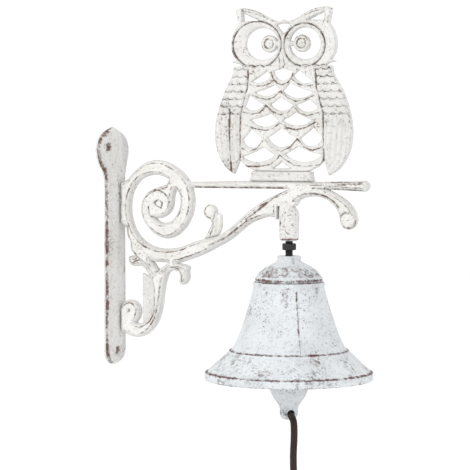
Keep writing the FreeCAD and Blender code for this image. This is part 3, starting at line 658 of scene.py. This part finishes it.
def owl_heights(u, v, depth, pick):
    """The owl's face by region: head above the chin, wings outside the flank
    line and the breast's bands between them."""
    z = v - owl_z
    x = u - np.where(z > 87, head_x, owl_x)
    side = np.abs(x)
    height = owl_half - rounded_edge(depth, 1.1)
    wear = 0.6 * furrow(np.abs(depth - 0.9), 0.8)
    # painted shade: a little everywhere, more near the border, on the low upper side of each breast band,
    # in the wing seams and in the eye trenches
    painted_shade = 0.2 + 0.3 * furrow(depth, 1.4)

    flank = np.interp(z, [0, 11, 16, 51, 71, 87, 88], [24, 30, 34.2, 33.7, 28.0, 27.0, 27.0])
    head = eased(85.5, 88.5, z)
    wing = (1 - head) * eased(-0.6, 0.6, side - flank)
    breast = (1 - head) * (1 - wing) * eased(6.0, 8.0, z)

    across = pick["over"] / np.maximum(pick["over"] + pick["under"], 0.05)
    tile = owl_half - 1.7 * (1 - across) - 0.9 * rounded_edge(np.maximum(pick["under"] - 0.2, 0), 0.9)
    height = np.where(breast > 0.5, np.minimum(height, tile), height)
    wear = np.where(breast > 0.5, 0.3 * furrow(np.abs(pick["under"] - 0.9), 0.9), wear)
    painted_shade = np.where(breast > 0.5, 0.45 * (1 - across), painted_shade)
    for chain in FEATHER_EDGES:
        lip = line_distance(x, z, chain)
        height += breast * (0.5 * furrow(lip, 1.8) - 0.3 * furrow(lip, 0.5)) * eased(0.0, 0.8, depth)
        wear = np.maximum(wear, breast * 1.05 * furrow(lip, 1.15))

    slope, seam = feather_rows(side + 0.28 * z, z, 6.6, 5.6)
    scales = eased(47, 50, z)
    ribs = 0.5 + 0.5 * np.cos((side - flank - 0.10 * (z - 30)) * 2 * np.pi / 4.4)
    wing_drop = scales * (1.4 * slope + 0.6 * seam) + (1 - scales) * (0.9 * (1 - ribs) ** 1.5)
    height = height - wing * wing_drop * eased(0.0, 1.5, depth)
    wear = np.maximum(wear, wing * (0.9 * seam * scales + 0.5 * (1 - scales) * eased(0.9, 1.0, ribs)))
    painted_shade = np.maximum(painted_shade, wing * (0.5 * seam * scales + 0.4 * (1 - ribs) * (1 - scales)))
    fold = np.abs(side - flank - 0.4) + 9 * (z > 86)
    height -= 0.9 * furrow(fold, 1.3)
    wear = np.maximum(wear, 1.1 * furrow(fold, 1.3) * (z < 84))
    long_line = line_distance(x, z, [(-43.0, 55.0), (-43.2, 40.0), (-42.6, 20.0), (-41.4, 7.0)])
    height -= 0.8 * furrow(long_line, 1.2)
    wear = np.maximum(wear, 1.05 * furrow(long_line, 1.2))

    for number, (cx, cz, wide, tall) in enumerate(EYE_RIMS):
        off = ellipse_offset(x, z, cx, cz, wide, tall)
        mine = head * ((x < -0.8) if number == 0 else (x > -0.8))
        dish = eased(-7.0, -0.8, off)
        dished = 1.2 + 1.8 * dish - 0.5 * rounded_edge(depth, 0.8)
        height = np.where((mine > 0.5) & (off < 0), dished, height)
        trench = furrow(np.abs(off - 0.5), 1.3) * mine
        height -= 1.3 * trench
        wear = np.maximum(wear * (1 - mine * (off < -1)), trench)
        painted_shade = np.maximum(painted_shade, trench)
    for cx, cz in PUPILS:
        off = np.hypot(x - cx, z - cz)
        near = off < 7.2
        ring = furrow(np.abs(off - 3.6), 0.9)
        pupil = owl_half - 0.2 - rounded_edge(depth, 0.9) - 0.9 * ring + 0.2 * (off < 2.4)
        height = np.where(near, pupil, height)
        wear = np.where(near, 1.0 * ring + 0.8 * furrow(np.abs(off - 6.0), 0.8), wear)
    beak = line_distance(x, z, BEAK)
    height += 0.9 * furrow(beak, 2.2) * eased(0.2, 1.0, depth)
    wear = np.maximum(wear, 0.95 * furrow(np.abs(beak - 1.9), 0.8) * (z < 97) * (z > 84))
    chin = furrow(np.abs(z - 86.6 - 1.1 * np.abs(np.sin(x * 0.42))), 0.9)
    chin *= eased(8, 10, side) * (depth > 0.2)
    height -= 0.7 * chin
    wear = np.maximum(wear, 0.95 * chin)
    ear = line_distance(side, z, [(6.0, 121.6), (14.0, 124.4), (24.0, 128.2), (33.0, 130.0)])
    wear = np.maximum(wear, 0.85 * furrow(np.abs(ear - 1.0), 0.9) * (z > 118))
    front = np.clip(height, 0.3, owl_half + 0.9)
    back = -np.clip(0.35 * height + 0.65 * (owl_half - rounded_edge(depth, 1.1)), 0.3, owl_half)
    return front, back, wear, painted_shade


# %% Owl mesh
owl_castings = ["owl_breast", "owl_wing_left", "owl_wing_right", "owl_head"]
owl = cast_piece("owl_relief", owl_castings, 1.137, 0.52, 0.22, owl_heights)


def foot_heights(u, v, depth, pick):
    """A plain block between owl and perch, a little sunk between its edges, evenly greyed with painted
    shade.
    """
    height = 4.5 - rounded_edge(depth, 1.2) - 0.5 * eased(1.5, 3.5, depth)
    return height, -height, 0.25 * furrow(np.abs(v - 55.4), 0.8), 0.3 + 0 * u


owl_foot = cast_piece("owl_foot_block", ["owl_foot"], 1.137, 0.6, 0.25, foot_heights)

# %% [markdown]
# ## The wall plate
# The plate is a relief seen from the front: flat on the wall, rounded edges, a
# ridge down its middle that carries the scroll, and a spade-shaped top whose
# facets meet in a soft crest. The two screw holes go right through. Its near
# edge is rubbed down to the iron.

# %% Plate mesh
plate_thick, ridge_top = 4.0, 7.5
upper_screw, lower_screw = (-15.0, 80.0), (0.0, -80.0)


def plate_heights(u, v, depth, pick):
    """The plate's thickness with a rounded edge, plus a ridge over the middle."""
    edge = rounded_edge(depth, 2.6, 1.6)
    ridge = (ridge_top - plate_thick) * (1 - eased(4.5, 12.5, np.abs(u)))
    ridge *= eased(-80.0, -66.0, v) * (1 - eased(52.0, 74.0, v))
    top_middle = np.interp(v, [54, 79, 97], [0.0, -3.0, -1.5])
    dome = 2.4 * np.clip(1 - np.abs(u - top_middle) / 20.0, 0, 1)
    dome *= eased(50.0, 66.0, v) * eased(0.0, 8.0, depth)
    screws = np.minimum(*(np.hypot(u - across, v - up) for across, up in (upper_screw, lower_screw)))
    front = plate_thick - edge + ridge + dome - 0.8 * furrow(screws, 4.2) * (screws > 2.3)
    near_edge = 0.9 * furrow(depth, 4.2) * (pick["out"][:, 0] < -0.3) + 0.6 * furrow(depth, 1.8)
    hole_edge = 0.5 * furrow(screws, 4.2)
    crest = np.where(v > 61, 0.5 * furrow(np.abs(u - top_middle), 1.4),
                     0.6 * furrow(np.abs(np.abs(u) - 4.6), 1.0))
    wear = np.maximum.reduce([near_edge, hole_edge, crest])
    # painted shade: some everywhere, more and more towards the plate's far side (+Y), and full in the screw
    # holes
    return front, 0 * front, wear, np.maximum(0.3 + 0.5 * eased(1.0, 7.0, u), 1.0 * furrow(screws, 3.2))


wall_plate = cast_piece("wall_plate_cast", ["wall_plate"], 2.113, 0.65, 0.3, plate_heights, axis=0)

# %% [markdown]
# ## Turned pieces
# Bell, boss, washer, rod and nuts are all turned shapes. One helper spins a
# profile about an upright axis: the profile is a chain of runs, each either
# straight or a smooth curve through a few radii and heights, and the radius
# may also change with the angle, for a thread, a hexagon or a casting seam.

# %% Profile and turning helpers


def smooth_run(points, count):
    """A Catmull-Rom curve: each piece is a cubic whose slopes at its ends are
    half the step between the neighbours."""
    points = np.asarray(points, dtype=float)
    before, after = 2 * points[:1] - points[1:2], 2 * points[-1:] - points[-2:-1]
    padded = np.concatenate([before, points, after])
    t = np.linspace(0, len(points) - 1, count)
    k = np.minimum(t.astype(int), len(points) - 2)
    s = (t - k)[:, None]
    a, b, c, d = (padded[k + n] for n in range(4))
    square, cube = (2 * a - 5 * b + 4 * c - d) * s ** 2, (3 * b - a - 3 * c + d) * s ** 3
    return 0.5 * (2 * b + (c - a) * s + square + cube)


def turned(profile, count, change=None, centre=(bell_x, 0.0)):
    """A closed profile of (radius, height) spun about an upright axis. change
    gives a new radius from radius, height and angle."""
    around = np.linspace(0, 2 * np.pi, count, endpoint=False)
    radius = profile[:, :1] + 0 * around
    height = profile[:, 1:] + 0 * around
    angle = 0 * radius + around
    if change is not None:
        radius = change(radius, height, angle)
    points = np.stack([centre[0] + radius * np.cos(angle), centre[1] + radius * np.sin(angle),
                       height], axis=-1)
    closed = bool(np.allclose(profile[0], profile[-1]))
    rows = len(profile) - closed
    faces = grid_faces(rows, count, closed_rows=closed, closed_columns=True)
    return points[:rows].reshape(-1, 3), faces, angle[:rows]


# %% [markdown]
# ## The bell
# The bell is iron too, thin at the crown and flared at the mouth, with a raised
# band under the crown, a step above the flare and a thick lip. A two-part mould
# left a seam down each side. Paint is gone from the band, the step and the lip.

# %% Bell surface
BELL_OUTSIDE = [
    smooth_run([(4.25, -1.5), (8.7, -1.5)], 8),
    smooth_run([(9.0, -1.8), (9.2, -4.8), (11.2, -6.6), (14.8, -8.4), (18.2, -10.4), (20.9, -12.5),
                (22.8, -14.5), (24.4, -16.7)], 44),
    smooth_run([(25.0, -17.1), (25.5, -18.0), (25.6, -19.8), (25.3, -20.7)], 12),
    smooth_run([(25.3, -21.0), (26.9, -21.5), (27.3, -22.8), (27.0, -24.4)], 10),
    smooth_run([(26.9, -25.4), (30.0, -37.0), (33.3, -47.5), (36.7, -58.0), (40.8, -67.8),
                (43.4, -72.0)], 90),
    smooth_run([(44.6, -72.5), (45.4, -73.2), (45.8, -74.0)], 7),
    smooth_run([(46.1, -74.4), (50.6, -78.6), (56.4, -83.9), (61.2, -88.2)], 36),
    smooth_run([(62.1, -88.8), (63.5, -89.5), (64.0, -90.4)], 7),
    smooth_run([(64.05, -91.2), (64.1, -94.0), (63.6, -95.1), (62.7, -95.4)], 12),
]
BELL_INSIDE = [
    smooth_run([(61.2, -95.4), (59.4, -95.3), (55.8, -89.8), (48.2, -82), (41.6, -75.6), (37.0, -68),
                (32.4, -56), (28.6, -44), (23.7, -30), (21, -21.5), (15.6, -13.6), (9.9, -8.4),
                (9.2, -6.7)], 90),
    smooth_run([(8.8, -6.7), (4.25, -6.7)], 6),
    smooth_run([(4.25, -6.0), (4.25, -1.5)], 5),
]
bell_profile = np.concatenate(BELL_OUTSIDE + BELL_INSIDE)
outside_rows = sum(len(run) for run in BELL_OUTSIDE)
seam_angle = math.radians(-55.2)
band_down, groove_down, step_down, lip_down, foot_down = 19.2, 20.9, 72.9, 89.2, 95.1


def seam_offset(radius, angle):
    """Distance along the wall from the nearer of the two mould seams."""
    return np.abs((angle - seam_angle + np.pi / 2) % np.pi - np.pi / 2) * radius


def bell_wall(radius, height, angle):
    """The seam stands 0.45 millimetres proud between band and step, and the
    whole wall is a little uneven as cast iron is."""
    rows = (np.arange(len(radius)) < outside_rows)[:, None]
    on_wall = eased(-73.0, -70.5, height) * (1 - eased(-27.0, -25.0, height))
    uneven = 0.12 * np.sin(3 * angle + height * 0.09) + 0.08 * np.sin(7 * angle - height * 0.13)
    uneven = uneven * eased(12.0, 25.0, radius) * (1 - eased(57.0, 62.0, radius))
    return radius + rows * (0.45 * furrow(seam_offset(radius, angle), 1.1) * on_wall + uneven)


points, faces, angle = turned(bell_profile, 288, bell_wall)
radius = np.broadcast_to(bell_profile[:-1, :1], angle.shape)
height = np.broadcast_to(bell_profile[:-1, 1:], angle.shape)
outside = (np.arange(len(radius)) < outside_rows)[:, None]
depth_down = -height
band = 1.0 * furrow(np.abs(depth_down - band_down), 2.4)
groove = 1.2 * furrow(np.abs(depth_down - groove_down), 0.8)
step = 1.1 * furrow(np.abs(depth_down - step_down), 1.5)
lip = 1.1 * furrow(np.abs(depth_down - lip_down), 1.5)
foot = 0.8 * furrow(np.abs(depth_down - foot_down), 1.3)
crown = 0.62 * eased(7.0, 10.0, depth_down) * (1 - eased(16.5, 17.5, depth_down))
seam = 1.15 * furrow(seam_offset(radius, angle), 1.4)
seam *= eased(25, 27, depth_down) * (1 - eased(71, 73, depth_down))
# a painted shadow of the rod on the crown, beside the rod; it raises both the wear and the painted shade
# there
painted_rod_shadow = furrow(np.hypot((depth_down - 5.0) / 4.0, (angle - 2 * np.pi + 0.86) * radius / 2.4), 1.0) * outside
body = (0.34 + 0.22 * np.sin(9 * angle + 1.0) * np.sin(4 * angle)) * eased(23, 25, depth_down) * (
    1 - eased(40, 62, depth_down))
flare = 0.42 * eased(73.0, 75.0, depth_down)
bell_wear = outside * np.maximum.reduce([band, groove, step, lip, foot, crown, seam, body, flare,
                                         0.8 * painted_rod_shadow])
# painted shade: a little on the outside, more in the groove under the band and in the rod's painted shadow,
# and much over the whole inside
bell_painted_shade = np.where(outside, 0.2 + 0.4 * furrow(np.abs(depth_down - groove_down), 1.4) + painted_rod_shadow, 0.8)
bell = new_piece("bell_cast", points, faces, "bell", ["bell"],
                 wear=bell_wear.ravel(), painted_shade=bell_painted_shade.ravel())

# %% [markdown]
# ## Boss, threaded rod, nuts and washer
# The boss is a round plug under the arm, rounded off at the side that faces
# away from the wall. The black rod goes up into it and carries a thread: its
# radius follows a sawtooth that runs once around per millimetre of height. The
# nuts are hexagons whose corners are cut by a cone at the top and the bottom.

# %% Boss
boss_profile = np.concatenate([
    smooth_run([(0.01, 10.9), (3.2, 10.9)], 6), smooth_run([(3.6, 10.2), (6.0, 10.05)], 5),
    smooth_run([(6.5, 10.3), (7.1, 10.9), (7.5, 12.0)], 8),
    smooth_run([(7.6, 13.0), (7.8, 20.0), (7.95, 28.0), (7.9, 33.0), (7.3, 36.5), (6.0, 39.3),
                (4.6, 40.6)], 50),
    smooth_run([(4.0, 40.9), (0.01, 41.0)], 8)])


def boss_side(radius, height, angle):
    """Four faint flats pull the round plug slightly square, and the
    shoulder that faces away from the wall is rounded off."""
    shoulder = np.clip((height - 29.0) / 7.0, 0, 1) ** 2 * np.clip(np.cos(angle), 0, 1)
    return radius * (1 - 0.03 * np.cos(2 * (angle - 0.3)) ** 4) * (1 - 0.45 * shoulder)


points, faces, angle = turned(boss_profile[::-1], 72, boss_side)
height = np.broadcast_to(boss_profile[::-1, 1:], angle.shape)
chip = np.hypot((height - 23.0) / 3.4, ((angle + 2.2 + np.pi) % (2 * np.pi) - np.pi) * 8 / 2.0)
wear = 0.8 * furrow(np.abs(height - 11.2), 1.5) + 1.1 * furrow(chip, 1.1) + 0.1
# the boss gets an even painted shade
boss = new_piece("bell_boss_cast", points, faces, "bracket", ["bell_boss"],
                 wear=wear.ravel(), painted_shade=0.2 + 0 * wear.ravel())

# %% Rod with its thread and eye
thread_pitch, thread_depth, rod_radius, rod_top = 1.0, 0.42, 3.0, 28.0
eye_centre, eye_ring, eye_wire = -23.5, 6.0, 2.0


def thread(radius, height, angle):
    """A sawtooth in height plus angle, cut only in the shank's side."""
    tooth = np.abs(((height / thread_pitch + angle / (2 * np.pi)) % 1.0) * 2 - 1)
    return radius - thread_depth * tooth * (radius > 2.5)


rod_heights = np.arange(eye_centre + eye_ring, rod_top, 0.14)
rod_side = np.column_stack([np.full(len(rod_heights), rod_radius), rod_heights[::-1]])
rod_profile = np.concatenate([[(0.01, rod_top)], rod_side, [(0.01, rod_heights[0])]])
shank_points, shank_faces, _ = turned(rod_profile, 48, thread)


def ring_surface(centre, normal, ring, wire, count=96):
    """A torus: a circle of the wire's radius carried round a circle in the
    plane across the normal."""
    sideways = np.cross(normal, (0, 0, 1.0))
    lap, around = np.meshgrid(np.linspace(0, 2 * np.pi, count, endpoint=False),
                              np.linspace(0, 2 * np.pi, 28, endpoint=False), indexing="ij")
    spoke = np.cos(lap)[..., None] * sideways + np.sin(lap)[..., None] * np.array([0, 0, 1.0])
    points = (centre + spoke * (ring + wire * np.cos(around))[..., None]
              + normal * (wire * np.sin(around))[..., None])
    return points.reshape(-1, 3), grid_faces(count, 28, closed_rows=True, closed_columns=True)


eye_points, eye_faces = ring_surface(np.array([bell_x, 0, eye_centre]), ALONG, eye_ring, eye_wire)
points = np.concatenate([shank_points, eye_points])
faces = np.concatenate([shank_faces, eye_faces + len(shank_points)])
rod = new_piece("threaded_rod", points, faces, "bracket", ["hanger_rod"])

# %% Nuts, washer and ring
nut_flats, nut_tall = 10.0, 5.0


def nut(name, node, low):
    """A profile whose radius is first a circle, then limited to the hexagon:
    the flats' distance divided by the cosine of the angle from their middle."""
    corner = nut_flats / math.sqrt(3)
    profile = np.concatenate([
        smooth_run([(2.75, low + nut_tall), (2.75, low)], 4),
        smooth_run([(3.3, low), (nut_flats / 2 - 0.15, low)], 6),
        smooth_run([(corner, low + 0.55), (corner, low + nut_tall - 0.55)], 12),
        smooth_run([(nut_flats / 2 - 0.15, low + nut_tall), (3.3, low + nut_tall)], 6),
        [(2.75, low + nut_tall)]])

    def hexagon(radius, height, angle):
        from_flat = angle % (np.pi / 3) - np.pi / 6
        return np.minimum(radius, nut_flats / 2 / np.cos(from_flat))

    points, faces, _ = turned(profile[::-1], 96, hexagon)
    return new_piece(name, points, faces, "bracket", [node])


lock_nut = nut("lock_nut_steel", "lock_nut", 3.0)
inner_nut = nut("inner_nut_steel", "inner_nut", -14.0)
washer_profile = np.array([(3.3, -7.3), (3.2, -7.5), (3.2, -8.6), (3.3, -8.8), (7.6, -8.8),
                           (7.95, -8.6), (8.0, -8.1), (7.9, -7.55), (7.6, -7.3), (3.3, -7.3)])
points, faces, _ = turned(washer_profile[::-1], 72)
washer = new_piece("seat_washer_steel", points, faces, "washer", ["seat_washer"])
link_ring, link_wire, link_gap = 6.5, 1.75, 0.05
ring_high = eye_centre - eye_ring + eye_wire + link_wire + link_gap
link_centre = np.array([bell_x, 0, ring_high - link_ring])
points, faces = ring_surface(link_centre, ACROSS, link_ring, link_wire)
link = new_piece("clapper_ring_steel", points, faces, "link", ["clapper_ring"])

# %% [markdown]
# ## The clapper
# The clapper is an iron drop with an eye at its top and a drilled tip. Its CAD
# shape is right, hole and all, so a copy of it is merged and smoothed. The copy
# is worn in a line level with the hole and over its upper end.

# %% Clapper
drop_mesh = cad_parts["clapper"].data.copy()
drop_mesh.name = "clapper_drop"
drop_mesh.materials.clear()
shaper = bmesh.new()
shaper.from_mesh(drop_mesh)
bmesh.ops.remove_doubles(shaper, verts=shaper.verts, dist=2e-6)
for edge in shaper.edges:
    edge.smooth = len(edge.link_faces) < 2 or edge.calc_face_angle(0.0) < math.radians(40)
shaper.to_mesh(drop_mesh)
shaper.free()
drop_mesh.polygons.foreach_set("use_smooth", np.ones(len(drop_mesh.polygons), dtype=bool))
co = np.empty(len(drop_mesh.vertices) * 3)
drop_mesh.vertices.foreach_get("co", co)
drop_height = co.reshape(-1, 3)[:, 2] / MM
drop_wear = 0.55 * furrow(np.abs(drop_height + 121.6), 1.5) + 0.55 * eased(-106.0, -96.0, drop_height)
# the clapper gets an even painted shade, as it hangs inside the bell
for label, values in (("wear", drop_wear), ("painted_shade", 0.45 + 0 * drop_height)):
    kept = drop_mesh.attributes.new(label, "FLOAT", "POINT")
    kept.data.foreach_set("value", values)
clapper = bpy.data.objects.new("clapper_drop", drop_mesh)
scene.collection.objects.link(clapper)
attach(clapper, "clapper")
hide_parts("clapper")
print("clapper_drop", len(drop_mesh.polygons), "faces")

# %% [markdown]
# ## Finishes
# Three effects are shared, so each is a node group. Worn paint compares wear
# stored on the mesh with broken noise and shows iron brown where it wins. Sand
# cast grain is the pebbled skin that the mould leaves under the paint. The tint
# group shifts the paint a little from patch to patch, and paints shade in as a
# grey where the mesh stores painted shade: hollows, walls and far sides.

# %% Node helpers


def group(name, inputs, outputs):
    """An empty node group with its sockets, given as (name, kind, value)."""
    tree = bpy.data.node_groups.new(name, "ShaderNodeTree")
    for label, kind, value in inputs:
        socket = tree.interface.new_socket(label, in_out="INPUT", socket_type="NodeSocket" + kind)
        socket.default_value = value
    for label, kind in outputs:
        tree.interface.new_socket(label, in_out="OUTPUT", socket_type="NodeSocket" + kind)
    return tree, tree.nodes.new("NodeGroupInput").outputs, tree.nodes.new("NodeGroupOutput").inputs


def feed(tree, socket, value):
    """Link a socket to another, or set its number or colour."""
    if isinstance(value, bpy.types.NodeSocket):
        tree.links.new(value, socket)
    else:
        socket.default_value = value


def math_node(tree, operation, *values):
    """The result of one operation on numbers or sockets."""
    node = tree.nodes.new("ShaderNodeMath")
    node.operation = operation
    for socket, value in zip(node.inputs, values):
        feed(tree, socket, value)
    return node.outputs[0]


def noise(tree, scale, detail=4.0, rough=0.6, stretch=(1.0, 1.0, 1.0)):
    """Noise in object space, with its scale in waves to the metre."""
    place = tree.nodes.new("ShaderNodeTexCoord").outputs["Object"]
    mapping = tree.nodes.new("ShaderNodeMapping")
    mapping.inputs["Scale"].default_value = stretch
    tree.links.new(place, mapping.inputs["Vector"])
    node = tree.nodes.new("ShaderNodeTexNoise")
    tree.links.new(mapping.outputs[0], node.inputs["Vector"])
    feed(tree, node.inputs["Scale"], scale)
    node.inputs["Detail"].default_value = detail
    node.inputs["Roughness"].default_value = rough
    return node.outputs["Fac"]


def step_between(tree, value, low, high):
    """0 to 1 as the value goes from low to high, smoothly."""
    node = tree.nodes.new("ShaderNodeMapRange")
    node.interpolation_type = "SMOOTHSTEP"
    feed(tree, node.inputs["Value"], value)
    feed(tree, node.inputs["From Min"], low)
    feed(tree, node.inputs["From Max"], high)
    return node.outputs["Result"]


def mixed(tree, share, first, second):
    """The first colour, going to the second with the share."""
    node = tree.nodes.new("ShaderNodeMix")
    node.data_type = "RGBA"
    feed(tree, node.inputs[0], share)
    feed(tree, node.inputs[6], first)
    feed(tree, node.inputs[7], second)
    return node.outputs[2]


def stored(tree, label):
    """A number that was kept at the mesh's points."""
    node = tree.nodes.new("ShaderNodeAttribute")
    node.attribute_name = label
    return node.outputs["Fac"]


# %% Worn paint group
worn_paint, taken, given = group("worn_paint", [
    ("Paint", "Color", (0.8, 0.8, 0.8, 1)), ("Iron", "Color", (0.1, 0.05, 0.03, 1)), ("Edge", "Float", 1.0),
    ("Specks", "Float", 0.3), ("Scale", "Float", 300.0)], [("Color", "Color"), ("Bare", "Float")])
broken = noise(worn_paint, taken["Scale"], 5.0, 0.7)
patches = noise(worn_paint, 55.0, 3.0, 0.55)
rubbed = math_node(worn_paint, "MULTIPLY", stored(worn_paint, "wear"), taken["Edge"])
reach = math_node(worn_paint, "ADD", math_node(worn_paint, "MULTIPLY", broken, 2.4), math_node(
    worn_paint, "MULTIPLY", patches, 1.3))
edge_bare = step_between(worn_paint, math_node(worn_paint, "ADD", reach, rubbed), 2.30, 3.00)
specks = step_between(worn_paint, math_node(worn_paint, "ADD", math_node(
    worn_paint, "MULTIPLY", noise(worn_paint, 620.0, 2.0, 0.5), 1.0), math_node(
        worn_paint, "MULTIPLY", patches, 0.5)), 0.90, 1.00)
bare_specks = math_node(worn_paint, "MULTIPLY", specks, taken["Specks"])
bare = math_node(worn_paint, "MAXIMUM", edge_bare, bare_specks)
worn_paint.links.new(mixed(worn_paint, bare, taken["Paint"], taken["Iron"]), given["Color"])
worn_paint.links.new(bare, given["Bare"])

# %% Tint and painted shade group
tint_and_painted_shade, taken, given = group("tint_and_painted_shade", [
    ("Fresh", "Color", (0.8, 0.8, 0.8, 1)), ("Aged", "Color", (0.7, 0.68, 0.62, 1)),
    ("Painted_Shade_Colour", "Color", (0.5, 0.5, 0.5, 1)), ("Strength", "Float", 0.5)], [("Color", "Color")])
cloud = step_between(tint_and_painted_shade, noise(tint_and_painted_shade, 34.0, 5.0, 0.62), 0.38, 0.66)
fine = noise(tint_and_painted_shade, 420.0, 3.0, 0.6)
drift = math_node(tint_and_painted_shade, "MULTIPLY", math_node(tint_and_painted_shade, "ADD", cloud, math_node(
    tint_and_painted_shade, "MULTIPLY", fine, 0.5)), taken["Strength"])
aged = mixed(tint_and_painted_shade, drift, taken["Fresh"], taken["Aged"])
# painted shade: the stored shade amount, broken by fine noise, mixes the paint towards the grey shade
# colour
painted_shade_share = math_node(tint_and_painted_shade, "MULTIPLY", stored(tint_and_painted_shade, "painted_shade"), math_node(tint_and_painted_shade, "ADD", fine, 0.1))
tint_and_painted_shade.links.new(mixed(tint_and_painted_shade, painted_shade_share, aged, taken["Painted_Shade_Colour"]), given["Color"])

# %% Sand cast grain group
sand_cast, taken, given = group("sand_cast", [
    ("Pebble", "Float", 700.0), ("Pits", "Float", 0.5)], [("Height", "Float")])
pebbles = noise(sand_cast, taken["Pebble"], 3.0, 0.6)
swells = noise(sand_cast, 110.0, 3.0, 0.5)
pits = step_between(sand_cast, noise(sand_cast, 380.0, 1.0, 0.4), 0.62, 0.72)
rough = math_node(sand_cast, "ADD", pebbles, math_node(sand_cast, "MULTIPLY", swells, 1.2))
sand_cast.links.new(math_node(sand_cast, "SUBTRACT", rough, math_node(
    sand_cast, "MULTIPLY", pits, taken["Pits"])), given["Height"])

# %% Cast iron finishes


def placed(tree, group_tree, values):
    """A group node in a material, with some of its inputs set."""
    node = tree.nodes.new("ShaderNodeGroup")
    node.node_tree = group_tree
    for label, value in values.items():
        feed(tree, node.inputs[label], value)
    return node.outputs


def new_finish(name):
    """A material with its node tree and its shader."""
    material = bpy.data.materials.new(name)
    material.use_nodes = True
    return material, material.node_tree, material.node_tree.nodes["Principled BSDF"]


def rough_between(tree, shader, value, low, high):
    """Roughness that goes from low to high with the value."""
    rough = tree.nodes.new("ShaderNodeMapRange")
    tree.links.new(value, rough.inputs["Value"])
    rough.inputs["To Min"].default_value = low
    rough.inputs["To Max"].default_value = high
    tree.links.new(rough.outputs["Result"], shader.inputs["Roughness"])


def bumped(tree, shader, height, strength, distance):
    """Fine relief on the shader, its distance in metres."""
    bump = tree.nodes.new("ShaderNodeBump")
    bump.inputs["Strength"].default_value = strength
    bump.inputs["Distance"].default_value = distance
    tree.links.new(height, bump.inputs["Height"])
    tree.links.new(bump.outputs["Normal"], shader.inputs["Normal"])


def painted_iron(name, fresh, aged, painted_shade_colour, iron, edge, specks, grain):
    """White paint over cast iron: tint and painted shade, wear and grain from the three groups."""
    material, tree, shader = new_finish(name)
    tint = placed(tree, tint_and_painted_shade, {"Fresh": fresh, "Aged": aged, "Painted_Shade_Colour": painted_shade_colour, "Strength": 0.6})
    worn = placed(tree, worn_paint, {"Paint": tint["Color"], "Iron": iron, "Edge": edge, "Specks": specks})
    skin = placed(tree, sand_cast, {"Pebble": grain})
    tree.links.new(worn["Color"], shader.inputs["Base Color"])
    rough_between(tree, shader, worn["Bare"], 0.62, 0.85)
    high = math_node(tree, "SUBTRACT", skin["Height"], math_node(tree, "MULTIPLY", worn["Bare"], 0.5))
    bumped(tree, shader, high, 1.0, 0.0010)
    shader.inputs["Specular IOR Level"].default_value = 0.35
    return material


bracket_paint = painted_iron(
    "bracket_paint", fresh=(0.82, 0.81, 0.79, 1), aged=(0.70, 0.68, 0.64, 1), painted_shade_colour=(0.40, 0.41, 0.41, 1),
    iron=(0.15, 0.08, 0.06, 1), edge=0.95, specks=0.6, grain=760.0)
bell_paint = painted_iron(
    "bell_paint", fresh=(0.76, 0.79, 0.81, 1), aged=(0.62, 0.64, 0.66, 1), painted_shade_colour=(0.38, 0.41, 0.43, 1),
    iron=(0.12, 0.055, 0.045, 1), edge=0.95, specks=0.75, grain=620.0)

# %% Black steel


def black_steel_finish():
    """Blackened thread steel: near black, slightly glossy, rubbed a little."""
    material, tree, shader = new_finish("black_steel")
    shade = mixed(tree, noise(tree, 500.0, 4.0, 0.6), (0.012, 0.012, 0.013, 1), (0.05, 0.048, 0.046, 1))
    tree.links.new(shade, shader.inputs["Base Color"])
    rough_between(tree, shader, noise(tree, 260.0, 3.0, 0.6), 0.3, 0.6)
    shader.inputs["Metallic"].default_value = 0.6
    skin = placed(tree, sand_cast, {"Pebble": 1500.0, "Pits": 0.2})
    bumped(tree, shader, skin["Height"], 0.3, 0.0002)
    return material


def braided_cord_finish():
    """Dark brown yarn with painted shade in the dips between strands, and fine
    fibres that run along the strands in the piece's own map."""
    material, tree, shader = new_finish("brown_braid")
    place = tree.nodes.new("ShaderNodeUVMap")
    place.uv_map = "around_and_along"
    fibres = tree.nodes.new("ShaderNodeTexNoise")
    mapping = tree.nodes.new("ShaderNodeMapping")
    mapping.inputs["Scale"].default_value = (30.0, 160.0, 1.0)
    mapping.inputs["Rotation"].default_value = (0.0, 0.0, 0.5)
    tree.links.new(place.outputs["UV"], mapping.inputs["Vector"])
    tree.links.new(mapping.outputs[0], fibres.inputs["Vector"])
    fibres.inputs["Scale"].default_value = 1.0
    yarn = mixed(tree, fibres.outputs["Fac"], (0.006, 0.003, 0.003, 1), (0.050, 0.022, 0.018, 1))
    # painted shade: the stored dips mix the yarn towards near black
    shade = mixed(tree, stored(tree, "painted_shade"), yarn, (0.002, 0.001, 0.001, 1))
    tree.links.new(shade, shader.inputs["Base Color"])
    shader.inputs["Roughness"].default_value = 0.85
    shader.inputs["Sheen Weight"].default_value = 0.05
    bumped(tree, shader, fibres.outputs["Fac"], 0.5, 0.0002)
    return material


black_steel, brown_braid = black_steel_finish(), braided_cord_finish()
for pieces, finish in (
        ([bracket_face, leaf_bud, stem_web, owl, owl_foot, wall_plate, boss], bracket_paint),
        ([bell, clapper], bell_paint), ([rod, lock_nut, inner_nut, washer, link], black_steel),
        ([pull_cord, stop_knot, end_knot], brown_braid)):
    for piece in pieces:
        piece.data.materials.clear()
        piece.data.materials.append(finish)
